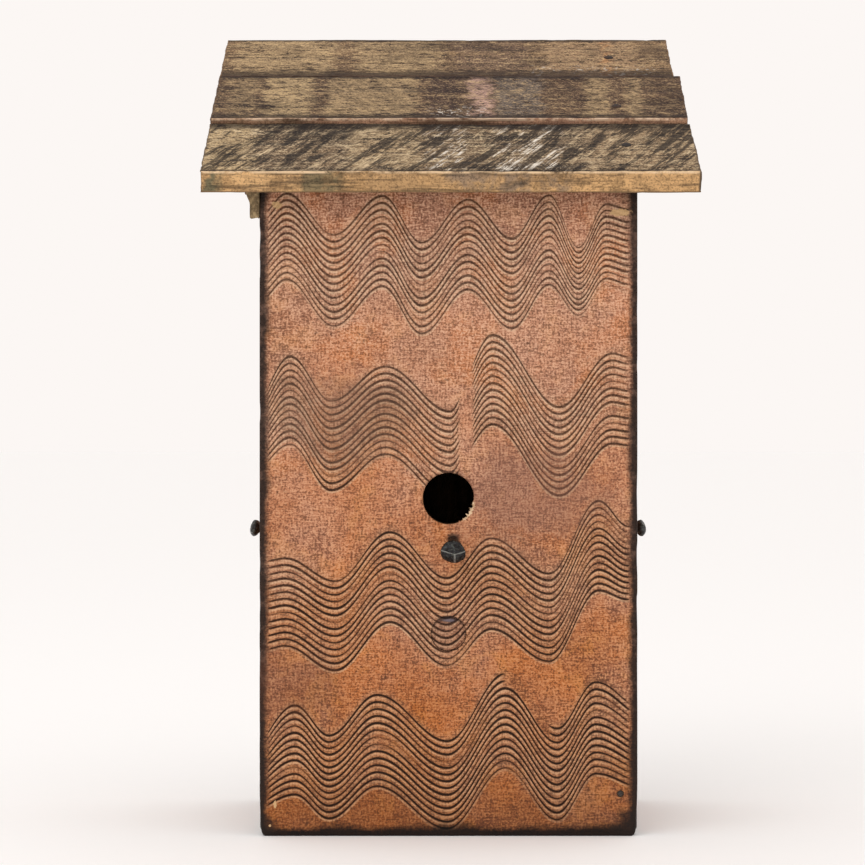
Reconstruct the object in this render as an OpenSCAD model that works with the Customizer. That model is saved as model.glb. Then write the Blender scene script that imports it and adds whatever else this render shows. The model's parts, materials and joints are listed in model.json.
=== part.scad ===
// Garden birdhouse with a lean-to roof of three reclaimed boards. One side wall swings out for cleaning.
// The front looks along -Y, +Z is up, and the origin is the middle of the base.

/* [House] */
// Width of the front and back boards
body_w = 210; // [170:1:250]
// Depth from the front face to the back face
body_d = 156; // [130:1:188]
// Height of the front face, up to the underside of the roof
front_h = 365; // [304:1:438]
// Thickness of the wall and floor boards
wall_t = 12; // [10:0.5:16]
// Radius of the worn bottom corners of the front board
corner_r = 3; // [1:0.5:5]

/* [Entrance] */
// Diameter of the entrance hole
entrance_d = 28.6; // [25:0.1:38]
// Height of the entrance hole's centre
entrance_z = 187.5; // [150:0.5:230]
// Diameter of the plugged second hole
plug_d = 19.5; // [12:0.5:24]
// Height of the plug's centre
plug_z = 112.5; // [80:0.5:140]
// How far the plug's face lies below the front face
plug_sink = 0.4; // [0:0.1:1]

/* [Roof] */
// Slope of the roof, in degrees
roof_slope = 26.6; // [15:0.1:35]
// How far the roof boards reach past the left side of the house
roof_left = 31.5; // [20:0.5:50]
// How far the longest roof board reaches past the right side of the house
roof_right = 33.5; // [20:0.5:50]
// Width of the front roof board, along the slope
front_roof_w = 75.5; // [62:0.5:91]
// Width of the middle roof board, along the slope
middle_roof_w = 73.5; // [61:0.5:89]
// Overhang behind the back face, along the slope
roof_tail = 23.5; // [10:0.5:35]
// Gap between two roof boards
roof_gap = 1; // [0.5:0.1:3]
// Thickness of the front roof board
front_roof_t = 13; // [10:0.5:18]
// Thickness of the middle roof board, which stands proud of its neighbours
middle_roof_t = 15.5; // [10:0.5:20]
// Thickness of the rear roof board
rear_roof_t = 15; // [10:0.5:18]
// How much shorter the middle roof board is at its right end
middle_roof_trim = 1; // [0:0.5:6]
// How much shorter the rear roof board is at its right end
rear_roof_trim = 4; // [0:0.5:8]
// Overhang in front of the front face, along the slope
roof_lip = 21.5; // [10:0.5:35]

/* [Side door] */
// Gap round the swinging side wall
door_gap = 1; // [0.5:0.1:2]
// Ventilation gap between the swinging wall and the roof
vent_gap = 4; // [3:0.5:8]
// Height of the bottom edge of the swinging wall above the base
door_lift = 2; // [1:0.5:6]
// Gap between the cleat's lower edge and the wall when it is swung right out
cleat_clearance = 2.5; // [1:0.5:8]
// How far the swinging wall's face lies inside the edge of the front board
door_inset = 0.5; // [0.4:0.1:1.5]

/* [Cleat] */
// Thickness of the cleat under the left eave
cleat_t = 8.5; // [7:0.5:12]
// Depth of the cleat, square to the roof
cleat_h = 20.5; // [16:0.5:25]

/* [Nails] */
// Radius of a round nail's shank
nail_r = 1.25; // [1:0.05:1.5]
// Radius of a round nail's head
nail_head_r = 2.8; // [2.2:0.1:3.4]
// Thickness of a round nail's head
nail_head_t = 1.2; // [0.8:0.1:1.6]
// Length of the nails in the walls and floor
nail_len = 32; // [28:1:38]
// Length of the nails in the roof
roof_nail_len = 27; // [24:1:30]
// Radius of the heads of the nails in the cleat
cleat_nail_head_r = 2.2; // [1.8:0.1:2.4]
// Length of the nails that hold the cleat to the front and back boards
cleat_nail_len = 24; // [20:1:30]
// How far the nails through the cleat run into the roof boards
cleat_nail_bite = 9; // [5:0.5:9.5]
// How deep the nails in the front board are punched below its face
nail_sink = 1.4; // [0.4:0.1:3]
// Radius of a pivot nail's shank
pivot_r = 1.6; // [1.4:0.1:2]
// Length of a pivot nail under its head
pivot_len = 30; // [24:1:34]
// Radius of the perch nail's shank
perch_r = 2.7; // [2:0.1:3.2]
// Length of the perch in front of the front face, up to its head
perch_reach = 18; // [12:1:30]
// Droop of the perch, in degrees
perch_droop = 17; // [0:1:20]
// Radius of the perch nail's head
perch_head_r = 6.5; // [5:0.1:8]
// Radius of the forged heads on the two side walls
knob_head_r = 4.9; // [4:0.1:6]
// Radius of the shanks of the two side nails
knob_r = 2; // [1.5:0.1:2.5]
// Height of the two side nails above the base
knob_z = 168.5; // [120:0.5:220]
// Distance from the wall to the left nail's head
left_knob_neck = 6; // [4:0.5:10]
// Distance from the wall to the right nail's head
right_knob_neck = 5; // [4:0.5:10]

/* [Latch] */
// Length of the turn button between its screw and its free end
latch_len = 21; // [16:0.5:26]
// Width of the turn button
latch_w = 9; // [7:0.5:10]
// Thickness of the turn button
latch_t = 1.6; // [1.2:0.1:2.5]
// Height of the turn button's screw above the base
latch_z = 62; // [40:1:90]

/* [Hanger] */
// Height of the keyhole's round opening above the base
hanger_z = 396; // [330:1:410]
// Width of the hanger plate
hanger_w = 26; // [22:1:34]
// Length of the hanger plate
hanger_h = 56; // [54:1:64]
// Thickness of the hanger plate
hanger_t = 1.6; // [1.2:0.1:2.5]
// Radius of the keyhole's round opening
keyhole_r = 5; // [4:0.1:5.5]
// Radius of the keyhole's slot
keyslot_r = 2.4; // [2:0.1:2.6]
// Length of the keyhole's slot
keyslot_len = 12; // [10:0.5:14]
// Depth of the pocket behind the keyhole
pocket_depth = 6; // [4:0.5:8]

/* [Hidden] */
$fn = 64;

// Play round a nail in its hole, and round a shaft that turns
nail_play = 0.02;
running_play = 0.05;
// How far a cutting solid runs past the faces that it cuts
cut = 1;

half_w = body_w / 2;
front_y = -body_d / 2;
back_y = body_d / 2;
inner_front_y = front_y + wall_t;
inner_back_y = back_y - wall_t;

// Height of the roof's underside at a distance y from the middle of the house
function eaves_z(y) = front_h + (y - front_y) * tan(roof_slope);

// The swinging wall lies between the front and back boards
door_x = -half_w + door_inset;
door_front_y = inner_front_y + door_gap;
door_back_y = inner_back_y - door_gap;
pivot_x = door_x + wall_t / 2;
pivot_z = eaves_z(door_front_y) - cleat_h / cos(roof_slope) - cleat_clearance - wall_t / 2;

// Places of the nails in the front and back boards, across and up. One at the right was driven askew
right_nail_x = half_w - wall_t / 2;
low_nail_x = half_w - wall_t * 0.79;
floor_nail_z = wall_t / 2;
top_nail_drop = 17;
low_nail_z = 23.5;
floor_nail_inset = 30;
floor_nail_x = half_w - floor_nail_inset;
face_nails = [
    [right_nail_x, front_h - top_nail_drop],
    [right_nail_x, (front_h - top_nail_drop + low_nail_z) / 2],
    [low_nail_x, low_nail_z],
    [floor_nail_x, floor_nail_z],
    [-floor_nail_x, floor_nail_z]
];
// The right wall's own nails stay clear of the tips of those from the front and back
side_nail_room = 8;
side_nail_y = back_y - nail_len - nail_head_t - side_nail_room;

// The perch goes in just beside the middle of the front board, under the entrance
perch_x = 2.5;
perch_drop = 9;
perch_z = entrance_z - entrance_d / 2 - perch_drop;
// Wood left between a forged nail's tip and the inside of its wall
forged_stop = 2;
perch_head_h = 5;
knob_head_h = 5.5;

// Front edge of each roof board, up the slope from the front face. The rear board makes up the width
roof_starts = [
    -roof_lip,
    -roof_lip + front_roof_w + roof_gap,
    -roof_lip + front_roof_w + middle_roof_w + 2 * roof_gap
];
roof_run = body_d / cos(roof_slope);
rear_roof_w = roof_run + roof_tail - roof_starts[2];
roof_ws = [front_roof_w, middle_roof_w, rear_roof_w];
roof_ts = [front_roof_t, middle_roof_t, rear_roof_t];
roof_trims = [0, middle_roof_trim, rear_roof_trim];

// Where each roof nail was driven: up the slope, and in from the right face of the house. The first clears
// the front board by its offset, the second goes into the middle board, and the last enters the back board
first_roof_nail_offset = 5.5;
middle_roof_nail_offset = 21;
last_roof_nail_offset = nail_r + 1;
roof_nail_places = [
    (wall_t + first_roof_nail_offset) / cos(roof_slope),
    roof_starts[1] + middle_roof_nail_offset,
    (body_d - wall_t + last_roof_nail_offset) / cos(roof_slope)
];
roof_nail_insets = [5.5, 8, 8];
// Where the nails up through the cleat were driven. The last is midway along its part of the rear board
middle_cleat_nail_offset = 37;
cleat_roof_nail_places = [
    roof_nail_places[0],
    roof_starts[1] + middle_cleat_nail_offset,
    (roof_starts[2] + roof_run - cleat_h * tan(roof_slope)) / 2
];

// Section of the cleat, out and down square to the roof. Its outer face leans in, and is worn away below
cleat_lean = 0.2;
cleat_waist = 2.6;
cleat_taper = 3.1;
cleat_low_t = cleat_t - cleat_taper;
cleat_section = [
    [0, 0],
    [cleat_t, 0],
    [cleat_t - cleat_lean, -cleat_h * 0.28],
    [cleat_t - cleat_waist, -cleat_h * 0.64],
    [cleat_low_t, -cleat_h],
    [0, -cleat_h]
];
cleat_nail_drop = 9;
cleat_roof_nail_len = cleat_h + cleat_nail_bite - nail_head_t;

latch_y = back_y - wall_t / 2;
// From the latch's screw to the middle of its rounded free end
latch_reach = latch_len - latch_w / 2;
washer_t = 0.6;
washer_r = 3.6;
latch_play = 0.2;
screw_r = 1.7;
screw_head_r = 3.4;
screw_head_t = 2;
screw_slot_w = 0.8;
screw_grip = 16;
screw_end_room = 2;

hanger_screw_z = 21.5;
hanger_screw_grip = 10;
// The pocket behind the keyhole is wider than its slot at each side and above it
pocket_r = 9;
pocket_side = 2;
pocket_top = 5;

drain_r = 2;
drain_inset = 14;

// ---- Shapes that repeat ----

// A solid whose outline is drawn along and up, and which is as thick as t across
module side_slab(x, t) {
    translate([x, 0, 0]) rotate([90, 0, 90]) linear_extrude(t) children();
}

// A wall's outline, from y0 to y1 and from z0 up to the roof, or as far below it as drop says
module under_roof(y0, y1, z0, drop) {
    polygon([[y0, z0], [y1, z0], [y1, eaves_z(y1) - drop], [y0, eaves_z(y0) - drop]]);
}

// The roof's own frame: +Y up the slope and +Z square to it, from the top of the front face
module on_slope() {
    translate([0, front_y, front_h]) rotate([roof_slope, 0, 0]) children();
}

// A round nail whose head is flush at 0 and whose shank runs along +Z. play makes the hole for it
module nail(length, r, play, head_r = nail_head_r) {
    cylinder(h = nail_head_t + play, r = head_r + play);
    translate([0, 0, nail_head_t]) cylinder(h = length + play, r = r + play);
    if (play > 0) translate([0, 0, -nail_sink - cut]) cylinder(h = nail_sink + cut, r = head_r + play);
}

// A round wire shank from -depth to neck, for a forged nail whose wall is at 0
module shank(depth, neck, r, play) {
    translate([0, 0, -depth]) cylinder(h = depth + neck, r = r + play);
}

// A hand-forged head with a short collar and five struck faces
module rose_head(r, h) {
    collar_h = h * 0.4;
    cylinder(h = collar_h, r1 = r * 0.75, r2 = r);
    translate([0, 0, collar_h]) cylinder(h = h - collar_h, r1 = r, r2 = r * 0.2, $fn = 5);
}

// A pan-head screw whose head stands on 0 and whose shank runs along -Z
module pan_screw(grip, r, head_r, head_t) {
    difference() {
        union() {
            cylinder(h = head_t, r = head_r);
            translate([0, 0, -grip]) cylinder(h = grip + head_t / 2, r = r);
        }
        translate([-head_r, -screw_slot_w / 2, head_t * 0.55]) cube([head_r * 2, screw_slot_w, head_t]);
    }
}

// ---- Where the nails and screws go ----

module at_front_nails() {
    for (p = face_nails) translate([p[0], front_y + nail_sink, p[1]]) rotate([-90, 0, 0]) children();
}

module at_back_nails() {
    for (p = face_nails) translate([p[0], back_y, p[1]]) rotate([90, 0, 0]) children();
}

module at_right_nails() {
    for (side = [-1, 1]) translate([half_w, side * side_nail_y, floor_nail_z]) rotate([0, -90, 0]) children();
}

module at_roof_nail(board) {
    on_slope() translate([half_w - roof_nail_insets[board], roof_nail_places[board], roof_ts[board]])
        rotate([180, 0, 0]) children();
}

module roof_nail_holes() {
    for (board = [0:2]) at_roof_nail(board) nail(roof_nail_len, nail_r, nail_play);
}

module at_cleat_nails() {
    for (y = [front_y + wall_t / 2, back_y - wall_t / 2])
        translate([-half_w - cleat_t + cleat_lean, y, eaves_z(y) - cleat_nail_drop]) rotate([0, 90, 0])
            children();
}

// Driven up through the cleat, one into each roof board
module at_cleat_roof_nail(board) {
    on_slope() translate([-half_w - cleat_low_t / 2, cleat_roof_nail_places[board], -cleat_h]) children();
}

module cleat_roof_nail_holes() {
    for (board = [0:2]) at_cleat_roof_nail(board)
        nail(cleat_roof_nail_len, nail_r, nail_play, cleat_nail_head_r);
}

module at_front_pivot() {
    translate([pivot_x, front_y + nail_sink, pivot_z]) rotate([-90, 0, 0]) children();
}

module at_rear_pivot() {
    translate([pivot_x, back_y, pivot_z]) rotate([90, 0, 0]) children();
}

module at_perch() {
    translate([perch_x, front_y, perch_z]) rotate([90 + perch_droop, 0, 0]) children();
}

module at_left_knob() {
    translate([door_x, 0, knob_z]) rotate([0, -90, 0]) children();
}

module at_right_knob() {
    translate([half_w, 0, knob_z]) rotate([0, 90, 0]) children();
}

// The latch turns on its screw, and its washer lies against the edge of the back board
module at_latch() {
    translate([-half_w, latch_y, latch_z]) rotate([0, -90, 0]) children();
}

module at_hanger() {
    translate([0, back_y, hanger_z]) rotate([-90, 0, 0]) children();
}

module at_hanger_screws() {
    at_hanger() for (side = [-1, 1]) translate([0, side * hanger_screw_z - keyslot_len / 2, hanger_t])
        children();
}

// ---- Walls and floor ----

// Front outline with worn bottom corners, drawn across and up
module front_outline() {
    translate([-half_w + corner_r, 0]) square([body_w - 2 * corner_r, eaves_z(back_y)]);
    translate([-half_w, corner_r]) square([body_w, eaves_z(back_y)]);
    for (side = [-1, 1]) translate([side * (half_w - corner_r), corner_r]) circle(r = corner_r);
}

module front_board() {
    color("peru") difference() {
        intersection() {
            side_slab(-half_w, body_w) under_roof(front_y, inner_front_y, 0, 0);
            translate([0, inner_front_y, 0]) rotate([90, 0, 0]) linear_extrude(wall_t) front_outline();
        }
        translate([0, front_y - cut, entrance_z]) rotate([-90, 0, 0])
            cylinder(h = wall_t + 2 * cut, d = entrance_d);
        translate([0, front_y - cut, plug_z]) rotate([-90, 0, 0])
            cylinder(h = wall_t + 2 * cut, d = plug_d + 2 * nail_play);
        at_front_nails() nail(nail_len, nail_r, nail_play);
        at_front_pivot() nail(pivot_len, pivot_r, nail_play);
        at_perch() shank(wall_t - forged_stop, cut * 2, perch_r, nail_play);
        roof_nail_holes();
        at_cleat_nails() nail(cleat_nail_len, nail_r, nail_play, cleat_nail_head_r);
    }
}

// The plug's grain runs with the board, and it lies a little below the face
module hole_plug() {
    color("sienna") translate([0, front_y + plug_sink, plug_z]) rotate([-90, 0, 0])
        cylinder(h = wall_t - plug_sink, d = plug_d);
}

module back_board() {
    color("tan") difference() {
        side_slab(-half_w, body_w) under_roof(inner_back_y, back_y, 0, 0);
        at_back_nails() nail(nail_len, nail_r, nail_play);
        at_rear_pivot() nail(pivot_len, pivot_r, nail_play);
        at_cleat_nails() nail(cleat_nail_len, nail_r, nail_play, cleat_nail_head_r);
        roof_nail_holes();
        at_latch() translate([0, 0, -screw_grip]) cylinder(h = screw_grip + cut, r = screw_r + nail_play);
        at_hanger() {
            translate([0, 0, -pocket_depth]) cylinder(h = pocket_depth + cut, r = pocket_r);
            translate([-keyslot_r - pocket_side, -keyslot_len - pocket_top, -pocket_depth])
                cube([2 * (keyslot_r + pocket_side), keyslot_len + pocket_top, pocket_depth + cut]);
        }
        at_hanger_screws() translate([0, 0, -hanger_screw_grip - hanger_t])
            cylinder(h = hanger_screw_grip + hanger_t + cut, r = screw_r + nail_play);
    }
}

module right_wall() {
    color("saddlebrown") difference() {
        side_slab(half_w - wall_t, wall_t) under_roof(inner_front_y, inner_back_y, 0, 0);
        at_front_nails() nail(nail_len, nail_r, nail_play);
        at_back_nails() nail(nail_len, nail_r, nail_play);
        at_right_nails() nail(nail_len, nail_r, nail_play);
        roof_nail_holes();
        at_right_knob() shank(wall_t - forged_stop, cut, knob_r, nail_play);
    }
}

module floor_board() {
    floor_left = door_x + wall_t + door_inset;
    color("burlywood") difference() {
        translate([floor_left, inner_front_y, 0])
            cube([half_w - wall_t - floor_left, inner_back_y - inner_front_y, wall_t]);
        at_front_nails() nail(nail_len, nail_r, nail_play);
        at_back_nails() nail(nail_len, nail_r, nail_play);
        at_right_nails() nail(nail_len, nail_r, nail_play);
        for (x = [-1, 1], y = [-1, 1])
            translate([x * (half_w - wall_t - drain_inset), y * (inner_back_y - drain_inset), -cut])
                cylinder(h = wall_t + 2 * cut, r = drain_r);
    }
}

// ---- Swinging side wall ----

module side_door() {
    color("saddlebrown") difference() {
        side_slab(door_x, wall_t) under_roof(door_front_y, door_back_y, door_lift, vent_gap);
        at_front_pivot() nail(pivot_len, pivot_r, running_play);
        at_rear_pivot() nail(pivot_len, pivot_r, running_play);
        at_left_knob() shank(wall_t - forged_stop, cut, knob_r, nail_play);
    }
}

module front_pivot_nail() {
    color("dimgray") at_front_pivot() nail(pivot_len, pivot_r, 0);
}

module rear_pivot_nail() {
    color("dimgray") at_rear_pivot() nail(pivot_len, pivot_r, 0);
}

module door_knob_nail() {
    color("black") at_left_knob() {
        shank(wall_t - forged_stop, left_knob_neck + knob_head_h * 0.2, knob_r, 0);
        translate([0, 0, left_knob_neck]) rose_head(knob_head_r, knob_head_h);
    }
}

// ---- Roof ----

module roof_board(board) {
    color(["rosybrown", "gray", "dimgray"][board]) difference() {
        on_slope() translate([-half_w - roof_left, roof_starts[board], 0])
            cube([roof_left + body_w + roof_right - roof_trims[board], roof_ws[board], roof_ts[board]]);
        roof_nail_holes();
        cleat_roof_nail_holes();
    }
}

module roof_board_front() {
    roof_board(0);
}

module roof_board_middle() {
    roof_board(1);
}

module roof_board_rear() {
    roof_board(2);
}

// The cleat hangs under the left eave, across the gap above the swinging wall, with both ends cut plumb
module roof_cleat() {
    color("olive") difference() {
        intersection() {
            on_slope() translate([-half_w, roof_run + cleat_h, 0]) rotate([90, 0, 0]) mirror([1, 0, 0])
                linear_extrude(roof_run + 2 * cleat_h) polygon(cleat_section);
            translate([-half_w - 2 * cleat_t, front_y, 0]) cube([3 * cleat_t, body_d, 2 * eaves_z(back_y)]);
        }
        cleat_roof_nail_holes();
        at_cleat_nails() nail(cleat_nail_len, nail_r, nail_play, cleat_nail_head_r);
    }
}

// ---- Nails and the perch ----

module perch_nail() {
    color("black") at_perch() {
        shank(wall_t - forged_stop, perch_reach + perch_head_h * 0.2, perch_r, 0);
        translate([0, 0, perch_reach]) rose_head(perch_head_r, perch_head_h);
    }
}

module right_side_nail() {
    color("black") at_right_knob() {
        shank(wall_t - forged_stop, right_knob_neck + knob_head_h * 0.2, knob_r, 0);
        translate([0, 0, right_knob_neck]) rose_head(knob_head_r, knob_head_h);
    }
}

module roof_nails() {
    color("dimgray") for (board = [0:2]) at_roof_nail(board) nail(roof_nail_len, nail_r, 0);
}

module front_board_nails() {
    color("dimgray") at_front_nails() nail(nail_len, nail_r, 0);
}

module back_board_nails() {
    color("dimgray") at_back_nails() nail(nail_len, nail_r, 0);
}

module right_wall_nails() {
    color("dimgray") at_right_nails() nail(nail_len, nail_r, 0);
}

module cleat_nails() {
    color("dimgray") at_cleat_nails() nail(cleat_nail_len, nail_r, 0, cleat_nail_head_r);
}

module cleat_roof_nails() {
    color("dimgray") for (board = [0:2]) at_cleat_roof_nail(board)
        nail(cleat_roof_nail_len, nail_r, 0, cleat_nail_head_r);
}

// ---- Turn button that keeps the side wall shut ----

module latch_button() {
    color("gray") at_latch() translate([0, 0, washer_t + latch_play]) difference() {
        union() {
            cylinder(h = latch_t, d = latch_w);
            translate([-latch_reach, -latch_w / 2, 0]) cube([latch_reach, latch_w, latch_t]);
            translate([-latch_reach, 0, 0]) cylinder(h = latch_t, d = latch_w);
        }
        translate([0, 0, -cut]) cylinder(h = latch_t + 2 * cut, r = screw_r + running_play);
    }
}

module latch_washer() {
    color("silver") at_latch() difference() {
        cylinder(h = washer_t, r = washer_r);
        translate([0, 0, -cut]) cylinder(h = washer_t + 2 * cut, r = screw_r + nail_play);
    }
}

module latch_screw() {
    color("silver") at_latch() translate([0, 0, washer_t + latch_t + 2 * latch_play])
        pan_screw(screw_grip - screw_end_room, screw_r, screw_head_r, screw_head_t);
}

// ---- Hanger on the back ----

module hanger_plate() {
    color("silver") difference() {
        at_hanger() difference() {
            translate([-hanger_w / 2, -hanger_h / 2 - keyslot_len / 2, 0])
                cube([hanger_w, hanger_h, hanger_t]);
            translate([0, 0, -cut]) cylinder(h = hanger_t + 2 * cut, r = keyhole_r);
            translate([-keyslot_r, -keyslot_len, -cut])
                cube([2 * keyslot_r, keyslot_len, hanger_t + 2 * cut]);
            translate([0, -keyslot_len, -cut]) cylinder(h = hanger_t + 2 * cut, r = keyslot_r);
        }
        at_hanger_screws() translate([0, 0, -hanger_t - cut])
            cylinder(h = hanger_t + 2 * cut, r = screw_r + nail_play);
    }
}

module hanger_screws() {
    color("silver") at_hanger_screws()
        pan_screw(hanger_screw_grip, screw_r, screw_head_r, screw_head_t);
}

front_board();
back_board();
right_wall();
side_door();
floor_board();
hole_plug();
roof_board_front();
roof_board_middle();
roof_board_rear();
roof_cleat();
perch_nail();
door_knob_nail();
right_side_nail();
front_pivot_nail();
rear_pivot_nail();
roof_nails();
front_board_nails();
back_board_nails();
right_wall_nails();
cleat_nails();
cleat_roof_nails();
latch_button();
latch_washer();
latch_screw();
hanger_plate();
hanger_screws();
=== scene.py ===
"""Finishes of a wooden birdhouse: combed copper paint, reclaimed roof boards, forged nails and a wall that opens."""

import json
import math

import bmesh
import bpy
import numpy as np
from bpy.props import FloatProperty, FloatVectorProperty, IntProperty, PointerProperty
from mathutils import Matrix, Vector, kdtree, noise


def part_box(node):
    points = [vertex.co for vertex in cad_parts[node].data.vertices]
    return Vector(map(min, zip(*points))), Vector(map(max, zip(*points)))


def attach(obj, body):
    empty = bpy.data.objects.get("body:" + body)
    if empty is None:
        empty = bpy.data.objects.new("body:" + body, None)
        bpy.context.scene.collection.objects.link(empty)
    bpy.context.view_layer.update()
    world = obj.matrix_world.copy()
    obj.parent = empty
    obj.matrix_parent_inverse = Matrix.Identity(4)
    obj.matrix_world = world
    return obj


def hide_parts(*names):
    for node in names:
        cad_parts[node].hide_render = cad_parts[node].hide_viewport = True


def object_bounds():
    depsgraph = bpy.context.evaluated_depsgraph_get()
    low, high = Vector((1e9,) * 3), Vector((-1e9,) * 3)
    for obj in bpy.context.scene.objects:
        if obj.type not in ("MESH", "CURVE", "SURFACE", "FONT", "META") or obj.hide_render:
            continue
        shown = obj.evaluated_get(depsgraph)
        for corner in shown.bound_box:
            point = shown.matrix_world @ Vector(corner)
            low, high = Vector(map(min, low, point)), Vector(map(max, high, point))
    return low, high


bl_info = {
    "name": "Combed Birdhouse",
    "version": (1, 0, 0),
    "blender": (4, 5, 0),
    "location": "View3D > Sidebar > Birdhouse",
    "description": "Builds the finishes of a wooden birdhouse round its packed frame",
    "category": "Add Mesh",
}

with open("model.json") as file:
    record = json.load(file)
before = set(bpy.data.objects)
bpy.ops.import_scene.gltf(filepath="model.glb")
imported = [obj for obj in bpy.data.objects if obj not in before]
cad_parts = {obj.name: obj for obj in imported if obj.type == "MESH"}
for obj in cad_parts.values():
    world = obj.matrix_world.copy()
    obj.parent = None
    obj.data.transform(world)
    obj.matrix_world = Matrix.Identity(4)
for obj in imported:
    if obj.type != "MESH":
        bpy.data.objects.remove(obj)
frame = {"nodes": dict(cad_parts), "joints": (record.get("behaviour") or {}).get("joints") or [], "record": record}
CAD_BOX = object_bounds()
MM = 0.001

FRONT_LOW, FRONT_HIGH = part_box("front_board")
BACK_LOW, BACK_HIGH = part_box("back_board")
RIGHT_LOW, RIGHT_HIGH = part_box("right_wall")
DOOR_LOW, DOOR_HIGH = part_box("side_door")
PLUG_LOW, PLUG_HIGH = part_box("hole_plug")
HALF_WIDTH = FRONT_HIGH.x
FRONT_Y = FRONT_LOW.y
BACK_Y = BACK_HIGH.y
WALL = FRONT_HIGH.y - FRONT_LOW.y
# The roof's slope is the rise of the right wall's top over its depth, which the two boards beside it share
SLOPE = math.atan((BACK_HIGH.z - FRONT_HIGH.z) / (BACK_HIGH.y - FRONT_HIGH.y))
EAVES_FRONT = FRONT_HIGH.z - WALL * math.tan(SLOPE)
MOUNTS = {mount["name"]: mount for mount in frame["record"]["mounts"]}
ENTRANCE = Vector(MOUNTS["entrance"]["pos_m"])
ENTRANCE_RADIUS = MOUNTS["entrance"]["dims"]["r_mm"] * MM
KEYHOLE = Vector(MOUNTS["keyhole"]["pos_m"])
KEYHOLE_RADIUS = MOUNTS["keyhole"]["dims"]["r_mm"] * MM


def srgb(red, green, blue):
    """A colour from 0 to 255 as Blender's linear values."""
    return tuple(((c / 255 + 0.055) / 1.055) ** 2.4 if c > 10 else c / 255 / 12.92 for c in (red, green, blue))


def eaves(y):
    """Height of the roof's underside at a depth y."""
    return EAVES_FRONT + (y - FRONT_Y) * math.tan(SLOPE)


# ---- Settings ----


def colour(name, description, red, green, blue):
    return FloatVectorProperty(
        name=name, description=description, subtype="COLOR", size=3, min=0, max=1, default=srgb(red, green, blue)
    )


def length(name, description, millimetres):
    return FloatProperty(name=name, description=description, unit="LENGTH", default=millimetres * MM, min=0)


class PaintSettings(bpy.types.PropertyGroup):
    """Combed copper paint on the front and the side walls."""

    high_colour: colour("Upper copper", "Paint near the top of the front", 198, 142, 112)
    low_colour: colour("Lower copper", "Paint near the bottom of the front", 164, 92, 42)
    speck_colour: colour("Dark specks", "Brown that shows through the brushwork", 70, 42, 28)
    thread_colour: colour("Pale threads", "Pale brush marks across the paint", 228, 182, 150)
    groove_colour: colour("Groove", "Dark wax in the comb's grooves", 34, 20, 13)
    # Ridge colour: pale wax on the ridges, and a painted highlight on the ridge under each groove, as if lit from above
    ridge_colour: colour("Ridge", "Pale wax on the ridges beside the grooves", 216, 184, 152)
    rim_colour: colour("Rim", "Dark worn rim of the boards", 34, 25, 21)
    raw_colour: colour("Chipped wood", "Bare wood where the paint has chipped", 205, 168, 122)
    groove_depth: length("Groove depth", "Depth of a comb groove", 0.5)
    groove_width: length("Groove width", "Half the width of a comb groove", 0.8)
    ridge_reach: length("Ridge reach", "From the middle of a groove to the ridge under it", 1.2)
    rim_width: length("Rim width", "Width of the dark rim", 5.2)
    teeth: IntProperty(name="Comb teeth", description="Lines that one pass of the comb leaves", default=14, min=2)


class TimberSettings(bpy.types.PropertyGroup):
    """Reclaimed boards and bare pine."""

    arris: length("Worn arris", "Radius to which a board's edges have worn", 1.1)
    roof_arris: length("Roof arris", "Radius of the roof boards' edges", 1.0)
    grain_depth: length("Grain depth", "Depth of the weathered grain", 0.28)
    saw_depth: length("Saw mark depth", "Depth of the saw marks on the roof", 0.22)
    inner_colour: colour("Bare pine", "Wood of the floor and the inside", 176, 136, 92)
    stain_colour: colour("Back stain", "Stain on the back board", 118, 82, 58)


class IronSettings(bpy.types.PropertyGroup):
    """Forged nails, wire nails, and zinc fittings."""

    forged_colour: colour("Forged iron", "Blackened iron", 48, 48, 50)
    rust_colour: colour("Rust", "Rust on the wire nails", 120, 66, 34)
    zinc_colour: colour("Zinc", "Dull zinc plate", 158, 160, 160)
    plate_bevel: length("Plate bevel", "Rounding of the stamped plates", 0.25)
    head_dome: length("Head dome", "How far a wire nail's head stands up in the middle", 0.45)


class StageSettings(bpy.types.PropertyGroup):
    """Camera and studio light."""

    camera_distance: FloatProperty(
        name="Camera distance", description="From the front face", unit="LENGTH", default=1.528, min=0.1
    )
    camera_height: FloatProperty(name="Camera height", description="Above the base", unit="LENGTH", default=0.2242)
    lens: FloatProperty(name="Lens", description="Focal length on a 36 mm sensor, in mm", default=114.5, min=10)
    side_shift: FloatProperty(name="Side shift", description="Share of the picture's width", default=-0.0185)
    key_power: FloatProperty(name="Key light", description="Power of the large soft light", unit="POWER", default=9)
    sky: FloatProperty(name="Sky", description="Strength of the pale surround", default=1.0, min=0)


# ---- Nodes ----


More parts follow.
